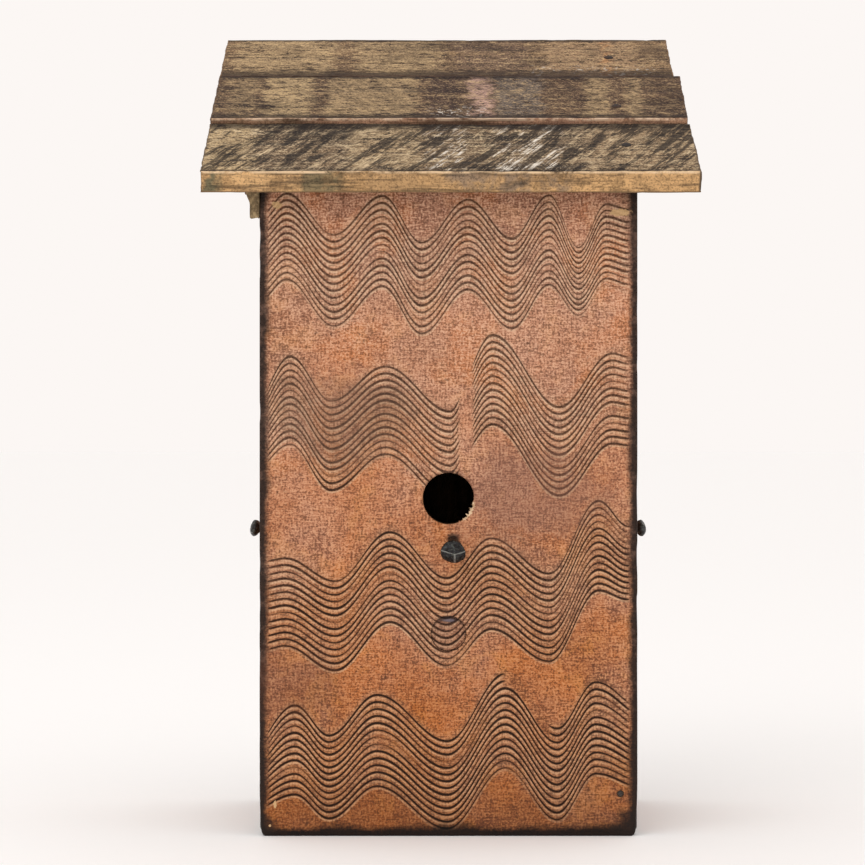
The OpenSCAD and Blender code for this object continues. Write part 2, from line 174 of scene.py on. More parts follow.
class Wires:
    """Adds nodes to a node tree and joins them up."""

    def __init__(self, tree):
        self.tree = tree

    def join(self, socket, value):
        if isinstance(value, bpy.types.NodeSocket):
            self.tree.links.new(value, socket)
        elif value is not None:
            socket.default_value = value

    def add(self, kind, *values, named=None, **settings):
        """A node of that kind, with its inputs given in order or by name."""
        node = self.tree.nodes.new(kind)
        for key, value in settings.items():
            setattr(node, key, value)
        for slot, value in enumerate(values):
            self.join(node.inputs[slot], value)
        for name, value in (named or {}).items():
            self.join(node.inputs[name], value)
        return node

    def maths(self, operation, a, b=None, c=None, clamp=False):
        return self.add("ShaderNodeMath", a, b, c, operation=operation, use_clamp=clamp).outputs[0]

    def vector(self, operation, a, b=None):
        node = self.add("ShaderNodeVectorMath", a, b, operation=operation)
        return node.outputs["Value" if operation in {"LENGTH", "DOT_PRODUCT"} else "Vector"]

    def scaled(self, vector, factor):
        return self.add("ShaderNodeVectorMath", vector, named={"Scale": factor}, operation="SCALE").outputs[0]

    def split(self, vector):
        return self.add("ShaderNodeSeparateXYZ", vector).outputs

    def merge(self, x, y, z):
        return self.add("ShaderNodeCombineXYZ", x, y, z).outputs[0]

    def noise(self, vector, scale, detail=2.0, roughness=0.5, distortion=0.0, stretch=None):
        if stretch:
            vector = self.vector("MULTIPLY", vector, stretch)
        inputs = {
            "Vector": vector,
            "Scale": scale,
            "Detail": detail,
            "Roughness": roughness,
            "Distortion": distortion,
        }
        return self.add("ShaderNodeTexNoise", named=inputs).outputs[0]

    def remap(self, value, low, high, to_low=0.0, to_high=1.0, smooth=True):
        """value from low..high as to_low..to_high, held at the ends."""
        node = self.add("ShaderNodeMapRange", value, low, high, to_low, to_high)
        node.interpolation_type = "SMOOTHSTEP" if smooth else "LINEAR"
        return node.outputs[0]

    def mix(self, factor, a, b, blend="MIX"):
        node = self.tree.nodes.new("ShaderNodeMix")
        node.data_type = "RGBA"
        node.blend_type = blend
        for slot, value in ((0, factor), (6, a), (7, b)):
            if isinstance(value, tuple) and len(value) == 3:
                value = (*value, 1)
            self.join(node.inputs[slot], value)
        return node.outputs[2]

    def attribute(self, name, output="Fac"):
        return self.add("ShaderNodeAttribute", attribute_name=name).outputs[output]


def shader_group(name, inputs, outputs, fill):
    """A shader node group with named sockets. fill(wires, group inputs) returns its output sockets in order."""
    tree = bpy.data.node_groups.new(name, "ShaderNodeTree")
    for label, kind, default in inputs:
        socket = tree.interface.new_socket(name=label, in_out="INPUT", socket_type=kind)
        if default is not None:
            socket.default_value = default
    for label, kind in outputs:
        tree.interface.new_socket(name=label, in_out="OUTPUT", socket_type=kind)
    wires = Wires(tree)
    source = tree.nodes.new("NodeGroupInput").outputs
    sink = tree.nodes.new("NodeGroupOutput")
    for slot, result in enumerate(fill(wires, source)):
        tree.links.new(result, sink.inputs[slot])
    return tree


def place_group(wires, name, **inputs):
    """Puts a shared group in a material, with this material's own values."""
    node = wires.tree.nodes.new("ShaderNodeGroup")
    node.node_tree = SHARED[name]()
    for label, value in inputs.items():
        wires.join(node.inputs[label.replace("_", " ")], value)
    return node.outputs


def once(build):
    """A shared group is built the first time that a material asks for it."""

    def get():
        found = bpy.data.node_groups.get(build.__name__)
        return found or build()

    return get


def brushwork():
    """Fine crossed brush marks: threads up and down, threads across, and specks."""

    def fill(wires, source):
        point = source["Vector"]
        across = wires.noise(point, 1, 2, 0.6, 0.4, stretch=(170, 170, 1250))
        upright = wires.noise(point, 1, 2, 0.6, 0.4, stretch=(1150, 1150, 190))
        threads = wires.maths("MULTIPLY_ADD", across, 0.55, wires.maths("MULTIPLY", upright, 0.45))
        dots = wires.noise(point, 900, 1, 0.5)
        pale = wires.remap(wires.maths("MULTIPLY_ADD", dots, 0.45, wires.maths("MULTIPLY", threads, 0.6)), 0.525, 0.61)
        dark = wires.remap(wires.maths("MULTIPLY_ADD", dots, 0.4, wires.maths("MULTIPLY", threads, 0.6)), 0.49, 0.41)
        return threads, pale, dark

    return shader_group(
        "brushwork",
        [("Vector", "NodeSocketVector", None)],
        [("Threads", "NodeSocketFloat"), ("Pale", "NodeSocketFloat"), ("Dark", "NodeSocketFloat")],
        fill,
    )


def wood_figure():
    """Growth rings round a pith under the board, and the fibres that run along it."""

    def fill(wires, source):
        point = source["Vector"]
        finely = wires.scaled(point, source["Fineness"])
        wander = wires.noise(point, 1, 2, 0.5, 0, stretch=(7, 22, 22))
        x, y, z = wires.split(point)
        beside = wires.maths("ADD", y, source["Pith Side"])
        below = wires.maths("ADD", z, source["Pith Depth"])
        round_pith = wires.maths("SQRT", wires.maths("ADD", wires.maths("POWER", beside, 2), wires.maths("POWER", below, 2)))
        turned = wires.maths("MULTIPLY_ADD", wander, 0.035, round_pith)
        phase = wires.maths("DIVIDE", turned, source["Ring Width"])
        rings = wires.maths("MULTIPLY_ADD", wires.maths("SINE", wires.maths("MULTIPLY", phase, 2 * math.pi)), 0.5, 0.5)
        fibres = wires.noise(finely, 1, 3, 0.65, 0.2, stretch=(38, 950, 950))
        streaks = wires.noise(finely, 1, 2, 0.6, 0.1, stretch=(9, 260, 260))
        figure = wires.maths("MULTIPLY_ADD", rings, 0.16, wires.maths("MULTIPLY", streaks, 0.84))
        return rings, fibres, streaks, figure

    return shader_group(
        "wood_figure",
        [
            ("Vector", "NodeSocketVector", None),
            ("Pith Side", "NodeSocketFloat", 0.01),
            ("Pith Depth", "NodeSocketFloat", 0.06),
            ("Ring Width", "NodeSocketFloat", 0.004),
            ("Fineness", "NodeSocketFloat", 1.0),
        ],
        [
            ("Rings", "NodeSocketFloat"),
            ("Fibres", "NodeSocketFloat"),
            ("Streaks", "NodeSocketFloat"),
            ("Figure", "NodeSocketFloat"),
        ],
        fill,
    )


def grime():
    """Soft dirt in patches, broken up by fine grit."""

    def fill(wires, source):
        patches = wires.noise(source["Vector"], source["Scale"], 4, 0.6, 0.3)
        grit = wires.noise(source["Vector"], 1400, 1, 0.5)
        soft = wires.remap(patches, source["Start"], wires.maths("ADD", source["Start"], 0.16))
        rough = wires.remap(grit, 0.35, 0.62)
        mask = wires.maths("MULTIPLY", soft, wires.maths("MULTIPLY_ADD", rough, 0.45, 0.55))
        return mask, patches

    return shader_group(
        "grime",
        [
            ("Vector", "NodeSocketVector", None),
            ("Scale", "NodeSocketFloat", 20.0),
            ("Start", "NodeSocketFloat", 0.5),
        ],
        [("Mask", "NodeSocketFloat"), ("Patches", "NodeSocketFloat")],
        fill,
    )


def worn_rim():
    """Dark rim whose inner boundary wanders. Distance is how far a point lies from the board's edge."""

    def fill(wires, source):
        slow = wires.noise(source["Vector"], 45, 3, 0.6)
        fine = wires.noise(source["Vector"], 520, 2, 0.6)
        wander = wires.maths("MULTIPLY_ADD", wires.maths("SUBTRACT", slow, 0.5), 1.6, 1.0)
        reach = wires.maths("MULTIPLY", source["Width"], wander)
        ragged = wires.maths("MULTIPLY_ADD", wires.maths("SUBTRACT", fine, 0.5), 0.0024, source["Distance"])
        inner = wires.maths("MULTIPLY", reach, 0.42)
        mask = wires.remap(ragged, wires.maths("MULTIPLY", reach, 1.25), inner)
        return (mask,)

    return shader_group(
        "worn_rim",
        [
            ("Vector", "NodeSocketVector", None),
            ("Distance", "NodeSocketFloat", 1.0),
            ("Width", "NodeSocketFloat", 0.004),
        ],
        [("Mask", "NodeSocketFloat")],
        fill,
    )


def saw_marks():
    """Scratches left by a saw across a board: Angle is their direction from the board's length."""

    def fill(wires, source):
        x, y, z = wires.split(source["Vector"])
        cosine = wires.maths("COSINE", source["Angle"])
        sine = wires.maths("SINE", source["Angle"])
        bow = wires.maths("MULTIPLY", wires.maths("POWER", y, 2), 0.5)
        bowed = wires.maths("ADD", x, bow)
        along = wires.maths("ADD", wires.maths("MULTIPLY", bowed, cosine), wires.maths("MULTIPLY", y, sine))
        across = wires.maths("SUBTRACT", wires.maths("MULTIPLY", y, cosine), wires.maths("MULTIPLY", bowed, sine))
        turned = wires.merge(along, across, z)
        fine = wires.noise(turned, 1, 3, 0.7, 0.3, stretch=(48, 560, 60))
        broad = wires.noise(turned, 1, 3, 0.6, 0.4, stretch=(22, 125, 30))
        patch = wires.noise(source["Vector"], 1, 2, 0.5, 0.4, stretch=(22, 34, 34))
        lines = wires.remap(fine, 0.5, 0.62)
        mask = wires.maths("MULTIPLY", lines, wires.remap(wires.maths("MULTIPLY_ADD", broad, 0.5, wires.maths("MULTIPLY", patch, 0.5)), 0.42, 0.58))
        return lines, mask, broad

    return shader_group(
        "saw_marks",
        [("Vector", "NodeSocketVector", None), ("Angle", "NodeSocketFloat", 1.2)],
        [("Lines", "NodeSocketFloat"), ("Patchy Lines", "NodeSocketFloat"), ("Broad", "NodeSocketFloat")],
        fill,
    )


SHARED = {
    "brushwork": once(brushwork),
    "wood_figure": once(wood_figure),
    "grime": once(grime),
    "worn_rim": once(worn_rim),
    "saw_marks": once(saw_marks),
}


def new_material(name, shade):
    """A material, made once. shade(wires, shader) joins up its nodes."""
    found = bpy.data.materials.get(name)
    if found:
        return found
    material = bpy.data.materials.new(name)
    material.use_nodes = True
    shade(Wires(material.node_tree), material.node_tree.nodes["Principled BSDF"])
    return material


def bump(wires, shader, height, strength, distance):
    node = wires.add("ShaderNodeBump", named={"Strength": strength, "Distance": distance, "Height": height})
    wires.join(shader.inputs["Normal"], node.outputs[0])


def object_point(wires):
    return wires.add("ShaderNodeTexCoord").outputs["Object"]


# ---- Materials ----


def spot(wires, place, point, centre, reach, grain, ragged=1.6):
    """How far a point lies from centre, as a share of the spot's reach across and up, with a ragged outline."""
    away = wires.vector("LENGTH", wires.vector("MULTIPLY", wires.vector("SUBTRACT", place, centre), reach))
    torn = wires.noise(point, grain, 4, 0.65)
    return wires.maths("MULTIPLY_ADD", torn, ragged, wires.maths("SUBTRACT", away, ragged / 2))


def copper_paint(name, tone, offset, chips=(), rings=(), smudges_and_shadows=()):
    """Combed and waxed copper paint.

    chips are places where it is rubbed through, each with its reach across and up. The smudges also have a grain, a
    colour and a strength; they are dark and coloured spots, and painted shadows such as the one round the perch nail
    and the dark crescent at the plug's top. rings are dark lines round a hole, each with its centre, radius and
    strength; they are darkest along the hole's upper half, as painted shade under its upper rim.
    """

    def shade(wires, shader):
        paint = bpy.context.scene.birdhouse_paint
        place = object_point(wires)
        point = wires.vector("ADD", place, offset)
        threads, pale, dark = place_group(wires, "brushwork", Vector=point)[:3]
        blotch, patches = place_group(wires, "grime", Vector=point, Scale=17, Start=0.47)[:2]
        height = wires.split(place)[2]
        uneven = wires.maths("MULTIPLY_ADD", wires.maths("SUBTRACT", patches, 0.5), 0.35, height)
        level = wires.remap(uneven, 0.03, 0.3, smooth=False)
        base = wires.mix(level, tuple(paint.low_colour), tuple(paint.high_colour))
        smoke = wires.remap(wires.noise(point, 6.5, 3, 0.55, 0.6), 0.42, 0.6)
        base = wires.mix(wires.maths("MULTIPLY", smoke, 0.42), base, srgb(112, 78, 62))
        base = wires.mix(wires.maths("MULTIPLY", blotch, 0.32), base, srgb(126, 90, 78))
        warm = wires.remap(wires.noise(point, 26, 3, 0.6, 0.4), 0.45, 0.7)
        base = wires.mix(wires.maths("MULTIPLY", warm, 0.5), base, srgb(206, 122, 58))
        gold = wires.maths("MULTIPLY", wires.remap(wires.noise(point, 60, 4, 0.65, 0.5), 0.5, 0.64), 0.42)
        base = wires.mix(gold, base, wires.mix(level, srgb(206, 132, 62), srgb(212, 158, 118)))
        brown = wires.maths("MULTIPLY", wires.remap(wires.noise(point, 74, 4, 0.65, 0.5), 0.54, 0.66), 0.36)
        base = wires.mix(brown, base, wires.mix(level, srgb(110, 58, 36), srgb(140, 92, 74)))
        combed = wires.attribute("combed")
        waxed = wires.maths("MULTIPLY", combed, wires.remap(level, 0.3, 1, 0.3, 0.02))
        base = wires.mix(waxed, base, srgb(110, 76, 56))
        thread_tone = wires.mix(level, srgb(206, 138, 84), tuple(paint.thread_colour))
        base = wires.mix(wires.maths("MULTIPLY", pale, 0.66), base, thread_tone)
        specks = wires.maths("MULTIPLY", dark, wires.remap(height, 0.05, 0.28, 0.66, 0.56))
        base = wires.mix(specks, base, tuple(paint.speck_colour))
        blots = wires.remap(wires.noise(point, 330, 2, 0.6), 0.64, 0.74)
        base = wires.mix(wires.maths("MULTIPLY", blots, 0.55), base, tuple(paint.speck_colour))
        scuffs = wires.remap(wires.noise(point, 1, 3, 0.7, 0.3, stretch=(60, 60, 900)), 0.56, 0.66)
        scuffs = wires.maths("MULTIPLY", scuffs, wires.remap(wires.noise(point, 14, 2, 0.5), 0.52, 0.64))
        base = wires.mix(wires.maths("MULTIPLY", scuffs, 0.45), base, tuple(paint.speck_colour))
        low_dirt = wires.remap(wires.maths("MULTIPLY_ADD", patches, 0.06, height), 0.1, 0.02)
        base = wires.mix(wires.maths("MULTIPLY", low_dirt, 0.4), base, srgb(92, 54, 32))
        # Pale ridges beside the grooves: pale wax, with a painted highlight under each groove where the ridge attribute
        # is strongest
        ridge = wires.maths("MULTIPLY", wires.attribute("ridge"), wires.remap(threads, 0.38, 0.55, 0.3, 1))
        ridge_tone = wires.mix(level, srgb(212, 162, 120), tuple(paint.ridge_colour))
        base = wires.mix(wires.maths("MULTIPLY", ridge, 0.88), base, ridge_tone)
        broken = wires.maths("MULTIPLY_ADD", wires.maths("SUBTRACT", threads, 0.5), 0.5, wires.attribute("groove"))
        groove = wires.remap(broken, 0.04, 0.52)
        filled = wires.maths("MULTIPLY", groove, wires.remap(level, 0.2, 0.9, 0.96, 0.77))
        base = wires.mix(filled, base, tuple(paint.groove_colour))
        edge_inset = wires.attribute("inset")
        rim = place_group(wires, "worn_rim", Vector=point, Distance=edge_inset, Width=paint.rim_width)[0]
        worn = wires.maths("MULTIPLY", wires.remap(wires.noise(point, 150, 3, 0.7), 0.48, 0.7), wires.remap(height, 0.01, 0.12))
        rim_tone = wires.mix(worn, tuple(paint.rim_colour), srgb(84, 64, 54))
        rim_tone = wires.mix(wires.remap(height, 0.016, 0.004), rim_tone, srgb(16, 11, 9))
        base = wires.mix(wires.maths("MULTIPLY", rim, 0.97), base, rim_tone)
        # Smudges, and painted shadows: the dark spot round the perch nail's shank and the crescent at the plug's top
        for centre, reach, grain, spot_tone, strength in smudges_and_shadows:
            torn = spot(wires, place, point, centre, reach, grain, 1.6 if grain < 100 else 0.9)
            base = wires.mix(wires.remap(torn, 1.05, 0.45, 0, strength), base, spot_tone)
        # Dark line round each hole, strongest on its upper half: a dark joint, with painted shade under the hole's
        # upper rim
        for centre, radius, strength in rings:
            flat = wires.vector("MULTIPLY", wires.vector("SUBTRACT", place, centre), (1, 0, 1))
            away = wires.vector("LENGTH", flat)
            rise = wires.split(flat)[2]
            ragged = wires.maths("MULTIPLY", wires.maths("SUBTRACT", wires.noise(point, 300, 3, 0.7), 0.5), 0.0022)
            off = wires.maths("ABSOLUTE", wires.maths("ADD", wires.maths("SUBTRACT", away, radius), ragged))
            high = wires.remap(rise, radius * 0.35, radius * 0.95, 0.3, 1)
            line = wires.maths("MULTIPLY", wires.remap(off, wires.maths("MULTIPLY_ADD", high, 0.0008, 0.0006), 0.0003), high)
            base = wires.mix(wires.maths("MULTIPLY", line, strength), base, srgb(48, 36, 34))
        raw = None
        for centre, reach in chips:
            chip = wires.remap(spot(wires, place, point, centre, reach, 420), 1.0, 0.72)
            raw = chip if raw is None else wires.maths("MAXIMUM", raw, chip)
        if raw is not None:
            base = wires.mix(raw, base, tuple(paint.raw_colour))
        bare = wires.remap(wires.attribute("paint"), 0.5, 0.45)
        figure = place_group(wires, "wood_figure", Vector=wires.merge(*turned_upright(wires, place)))[3]
        wood = wires.mix(figure, srgb(92, 66, 44), tuple(bpy.context.scene.birdhouse_timber.inner_colour))
        base = wires.mix(bare, base, wood)
        base = wires.mix(1.0, base, (*tone, 1), blend="MULTIPLY")
        wires.join(shader.inputs["Base Color"], base)
        worn = wires.maths("MULTIPLY_ADD", threads, 0.3, 0.42)
        wires.join(shader.inputs["Roughness"], wires.maths("MULTIPLY_ADD", groove, 0.25, worn, clamp=True))
        shader.inputs["Metallic"].default_value = 0.0
        shader.inputs["Specular IOR Level"].default_value = 0.16
        relief = wires.maths("MULTIPLY_ADD", dark, -0.5, threads)
        bump(wires, shader, relief, 0.6, 0.0006)

    return new_material(name, shade)


def turned_upright(wires, place):
    """A board that stands on end: its length is up, so the figure's first axis is Z."""
    x, y, z = wires.split(place)
    return z, x, y


def bare_wood(name, pale, dark, rough=0.72, ring=0.0042, upright=False):
    """Sawn pine, for faces that were never painted."""

    def shade(wires, shader):
        place = object_point(wires)
        point = wires.merge(*turned_upright(wires, place)) if upright else place
        rings, fibres, streaks, figure = place_group(wires, "wood_figure", Vector=point, Ring_Width=ring)[:4]
        soil = place_group(wires, "grime", Vector=place, Scale=24, Start=0.5)[0]
        base = wires.mix(wires.remap(figure, 0.25, 0.75), pale, dark)
        base = wires.mix(wires.maths("MULTIPLY", wires.remap(fibres, 0.55, 0.7), 0.4), base, dark)
        base = wires.mix(wires.maths("MULTIPLY", soil, 0.5), base, srgb(70, 52, 38))
        wires.join(shader.inputs["Base Color"], base)
        wires.join(shader.inputs["Roughness"], wires.maths("MULTIPLY_ADD", fibres, 0.25, rough - 0.1, clamp=True))
        shader.inputs["Specular IOR Level"].default_value = 0.25
        bump(wires, shader, wires.maths("ADD", fibres, wires.maths("MULTIPLY", streaks, 0.6)), 0.5, 0.0004)

    return new_material(name, shade)


def along_patch(wires, share, start, stop, ragged):
    """Mask between two places along a board, given as shares of its length, with ragged ends."""
    wavering = wires.maths("MULTIPLY_ADD", wires.maths("SUBTRACT", ragged, 0.5), 0.09, share)
    off = wires.maths("ABSOLUTE", wires.maths("SUBTRACT", wavering, (start + stop) / 2))
    half = (stop - start) / 2
    return wires.remap(off, half + 0.012, half - 0.012)


def roof_wood(
    name,
    tones,
    edge,
    size,
    patches,
    edge_patches,
    seams,
    highlight_level=0.46,
    saw_angle=1.0,
    saw=0.0,
    limed=(),
    flecked=(),
    shift=(0, 0, 0),
):
    """Reclaimed roof board. size is the board's own length, width and thickness, in its own coordinates.

    tones are its deep, dark, middle and pale colours. A patch is its start and stop along the board as shares of the
    length, its colour and its strength. seams are the widths of the dark bands along the upper and the lower edge, and
    highlight_level is how little of the front arris gets a painted highlight, a cream line where it catches the light.
    limed are stretches whose saw marks are white, and flecked are stretches with white flecks along the lower edge.
    """

    def shade(wires, shader):
        board = wires.attribute("board", "Vector")
        point = wires.vector("ADD", board, shift)
        rings, fibres, streaks, figure = place_group(
            wires, "wood_figure", Vector=point, Ring_Width=0.006, Fineness=0.44, Pith_Depth=0.03
        )[:4]
        lines, patchy, broad = place_group(wires, "saw_marks", Vector=point, Angle=saw_angle)[:3]
        soil, soft = place_group(wires, "grime", Vector=point, Scale=26, Start=0.5)[:2]
        grit = wires.noise(point, 850, 2, 0.6)
        ragged = wires.noise(point, 1, 3, 0.65, 0.4, stretch=(60, 130, 60))
        along, across, thick = wires.split(board)
        share = wires.maths("DIVIDE", along, size[0])
        deep, dark, mid, pale = tones
        base = wires.mix(wires.remap(streaks, 0.38, 0.6), dark, mid)
        grains = wires.noise(point, 1, 4, 0.72, 0.5, stretch=(190, 430, 430))
        softened = wires.maths("MULTIPLY_ADD", fibres, 0.6, 0.2)
        texture = wires.maths("MULTIPLY_ADD", wires.maths("SUBTRACT", ragged, 0.5), 0.6, softened)
        texture = wires.maths("MULTIPLY_ADD", wires.maths("SUBTRACT", grains, 0.5), 1.3, texture)
        for start, stop, tone, strength in patches:
            mask = along_patch(wires, share, start, stop, ragged)
            worn = wires.maths("MULTIPLY", wires.remap(texture, 0.34, 0.52, 0.25, 1), strength)
            base = wires.mix(wires.maths("MULTIPLY", mask, worn), base, tone)
        base = wires.mix(wires.maths("MULTIPLY", wires.remap(texture, 0.55, 0.7), 0.74), base, pale)
        base = wires.mix(wires.maths("MULTIPLY", wires.remap(texture, 0.46, 0.3), 0.86), base, deep)
        base = wires.mix(wires.maths("MULTIPLY", wires.remap(grit, 0.5, 0.4), 0.5), base, deep)
        base = wires.mix(wires.maths("MULTIPLY", wires.remap(grit, 0.56, 0.64), 0.5), base, pale)
        base = wires.mix(wires.maths("MULTIPLY", soil, 0.5), base, deep)
        if saw:
            clear = wires.remap(wires.noise(point, 1, 2, 0.5, 0.5, stretch=(20, 34, 20)), 0.36, 0.54, 0.3, 1)
            marks = wires.maths("MULTIPLY", wires.maths("MULTIPLY", wires.remap(broad, 0.45, 0.56), lines), clear)
            crumbled = wires.remap(grains, 0.4, 0.53)
            marks = wires.maths("MULTIPLY", marks, wires.maths("MULTIPLY_ADD", crumbled, 0.85, 0.15))
            mark_tone = wires.mix(wires.remap(soft, 0.42, 0.58), pale, wires.mix(0.55, mid, pale))
            base = wires.mix(wires.maths("MULTIPLY", marks, saw), base, mark_tone)
            gaps = wires.maths("MULTIPLY", wires.remap(broad, 0.53, 0.42), wires.remap(lines, 0.7, 0.1))
            base = wires.mix(wires.maths("MULTIPLY", gaps, saw * 0.85), base, deep)
        for start, stop in limed:
            mask = along_patch(wires, share, start, stop, ragged)
            white = wires.maths("MULTIPLY", wires.maths("MULTIPLY", mask, lines), wires.remap(broad, 0.44, 0.54))
            white = wires.maths("MULTIPLY", white, wires.remap(grains, 0.4, 0.52, 0.1, 0.95))
            base = wires.mix(white, base, srgb(230, 222, 210))
        half_width, half_thick = size[1] / 2, size[2] / 2
        for start, stop in flecked:
            mask = along_patch(wires, share, start, stop, ragged)
            low = wires.remap(across, -half_width * 0.3, -half_width * 0.75)
            fleck = wires.maths("MULTIPLY", wires.remap(wires.noise(point, 300, 3, 0.7), 0.56, 0.64), low)
            base = wires.mix(wires.maths("MULTIPLY", wires.maths("MULTIPLY", fleck, mask), 0.85), base, srgb(222, 214, 202))
        for way, reach in zip((1, -1), seams):
            inward = wires.maths("MULTIPLY_ADD", across, -way, half_width)
            torn = wires.maths("MULTIPLY_ADD", wires.maths("SUBTRACT", texture, 0.5), 0.7 * reach, inward)
            seam = wires.remap(torn, reach, 0.35 * reach)
            base = wires.mix(wires.maths("MULTIPLY", seam, 0.82), base, deep)
        face = wires.mix(wires.remap(texture, 0.4, 0.66), tuple(0.62 * channel for channel in edge), edge)
        for start, stop, tone, strength in edge_patches:
            mask = along_patch(wires, share, start, stop, ragged)
            face = wires.mix(wires.maths("MULTIPLY", mask, wires.remap(ragged, 0.38, 0.56, 0, strength)), face, tone)
        face = wires.mix(wires.maths("MULTIPLY", wires.remap(fibres, 0.5, 0.36), 0.5), face, deep)
        face = wires.mix(wires.maths("MULTIPLY", wires.remap(grit, 0.5, 0.4), 0.4), face, deep)
        stained = wires.remap(wires.noise(point, 1, 4, 0.65, 0.3, stretch=(30, 120, 160)), 0.52, 0.66)
        face = wires.mix(wires.maths("MULTIPLY", stained, 0.55), face, dark)
        footing = wires.remap(wires.maths("MULTIPLY_ADD", grains, 0.004, thick), 0.003 - half_thick, 0.001 - half_thick)
        face = wires.mix(wires.maths("MULTIPLY", footing, 0.6), face, deep)
        cut_face = wires.remap(across, -half_width + 0.0018, -half_width + 0.0008)
        base = wires.mix(cut_face, base, face)
        # Painted highlight: a broken cream line along the upper arris of the front edge, where it catches the light
        arris = wires.maths("MULTIPLY", cut_face, wires.remap(thick, half_thick - 0.0022, half_thick - 0.0008))
        arris_highlight = wires.remap(wires.noise(point, 90, 5, 0.8), highlight_level - 0.06, highlight_level + 0.14)
        base = wires.mix(wires.maths("MULTIPLY", arris, arris_highlight), base, wires.mix(0.4, edge, srgb(255, 236, 205)))
        ends = wires.remap(wires.maths("ABSOLUTE", along), size[0] / 2 - 0.0016, size[0] / 2 - 0.0006)
        end_face = wires.mix(wires.maths("MULTIPLY_ADD", rings, 0.4, wires.maths("MULTIPLY", ragged, 0.6)), dark, mid)
        base = wires.mix(ends, base, end_face)
        under = wires.remap(thick, -half_thick + 0.0014, -half_thick + 0.0006)
        base = wires.mix(under, base, wires.mix(streaks, srgb(92, 72, 52), srgb(150, 120, 84)))
        wires.join(shader.inputs["Base Color"], base)
        wires.join(shader.inputs["Roughness"], wires.maths("MULTIPLY_ADD", fibres, 0.2, 0.68, clamp=True))
        shader.inputs["Specular IOR Level"].default_value = 0.2
        relief = wires.maths("ADD", fibres, wires.maths("MULTIPLY", lines, 0.5 if saw else 0.0))
        bump(wires, shader, relief, 0.7, 0.0006)

    return new_material(name, shade)


def black_iron():
    """Hammered, blackened iron, with a painted highlight along its ridges and painted sheen in patches."""

    def shade(wires, shader):
        iron = bpy.context.scene.birdhouse_iron
        point = object_point(wires)
        scale = wires.noise(point, 420, 3, 0.6)
        pits = wires.noise(point, 1600, 2, 0.6)
        # Painted highlight along the ridges of a forged head, which the ridge attribute marks
        highlight_level = wires.remap(wires.maths("MULTIPLY_ADD", scale, 0.4, wires.attribute("ridge")), 0.62, 0.95)
        base = wires.mix(wires.remap(scale, 0.4, 0.65), tuple(iron.forged_colour), srgb(30, 28, 27))
        base = wires.mix(wires.maths("MULTIPLY", wires.remap(pits, 0.55, 0.7), 0.3), base, srgb(84, 58, 42))
        sheen = wires.remap(wires.noise(point, 520, 3, 0.65, 0.5), 0.5, 0.62)
        base = wires.mix(wires.maths("MULTIPLY", sheen, 0.5), base, srgb(96, 100, 94))
        base = wires.mix(wires.maths("MULTIPLY", highlight_level, 0.7), base, srgb(150, 150, 144))
        wires.join(shader.inputs["Base Color"], base)
        wires.join(shader.inputs["Roughness"], wires.maths("MULTIPLY_ADD", scale, 0.3, 0.28))
        shader.inputs["Metallic"].default_value = 0.85
        bump(wires, shader, wires.maths("MULTIPLY_ADD", scale, 1.0, pits), 0.5, 0.0004)

    return new_material("black_iron", shade)


def plain_metal(name, base_colour, spot_colour, spots, rough, metallic):
    """Dull plated or rusty steel."""

    def shade(wires, shader):
        point = object_point(wires)
        bloom = wires.noise(point, 300, 3, 0.65)
        grain = wires.noise(point, 2200, 2, 0.5)
        base = wires.mix(wires.remap(bloom, 0.62 - spots * 0.3, 0.74 - spots * 0.25), base_colour, spot_colour)
        base = wires.mix(wires.maths("MULTIPLY", grain, 0.25), base, srgb(60, 58, 56))
        wires.join(shader.inputs["Base Color"], base)
        wires.join(shader.inputs["Roughness"], wires.maths("MULTIPLY_ADD", bloom, 0.3, rough - 0.12, clamp=True))
        shader.inputs["Metallic"].default_value = metallic
        bump(wires, shader, wires.maths("ADD", bloom, grain), 0.3, 0.0003)

    return new_material(name, shade)


def zinc():
    return plain_metal("dull_zinc", tuple(bpy.context.scene.birdhouse_iron.zinc_colour), srgb(112, 108, 100), 0.2, 0.46, 0.8)


def rusty_steel():
    return plain_metal("rusty_steel", srgb(70, 60, 54), tuple(bpy.context.scene.birdhouse_iron.rust_colour), 0.9, 0.7, 0.35)


def olive_wood():
    """Weathered cleat, with its fibres along Y."""

    def shade(wires, shader):
        place = object_point(wires)
        x, y, z = wires.split(place)
        fibres, streaks = place_group(wires, "wood_figure", Vector=wires.merge(y, x, z))[1:3]
        soil = place_group(wires, "grime", Vector=place, Scale=60, Start=0.48)[0]
        base = wires.mix(wires.remap(streaks, 0.35, 0.65), srgb(112, 94, 68), srgb(174, 150, 112))
        base = wires.mix(wires.maths("MULTIPLY", wires.remap(fibres, 0.55, 0.7), 0.5), base, srgb(204, 180, 138))
        base = wires.mix(wires.maths("MULTIPLY", soil, 0.5), base, srgb(70, 58, 42))
        wires.join(shader.inputs["Base Color"], base)
        wires.join(shader.inputs["Roughness"], wires.maths("MULTIPLY_ADD", fibres, 0.2, 0.62, clamp=True))
        shader.inputs["Specular IOR Level"].default_value = 0.25
        bump(wires, shader, wires.maths("ADD", fibres, streaks), 0.6, 0.0004)

    return new_material("olive_wood", shade)


# ---- Meshes ----


def finished(obj, node_names, body):
    """The piece stands for those CAD nodes, and moves with that body."""
    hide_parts(*node_names)
    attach(obj, body)
    return obj


def new_object(name, mesh, *materials):
    obj = bpy.data.objects.new(name, mesh)
    bpy.context.scene.collection.objects.link(obj)
    for material in materials:
        mesh.materials.append(material)
    return obj


def store(mesh, name, values):
    attribute = mesh.attributes.new(name, "FLOAT", "POINT")
    attribute.data.foreach_set("value", np.asarray(values, np.float32).ravel())


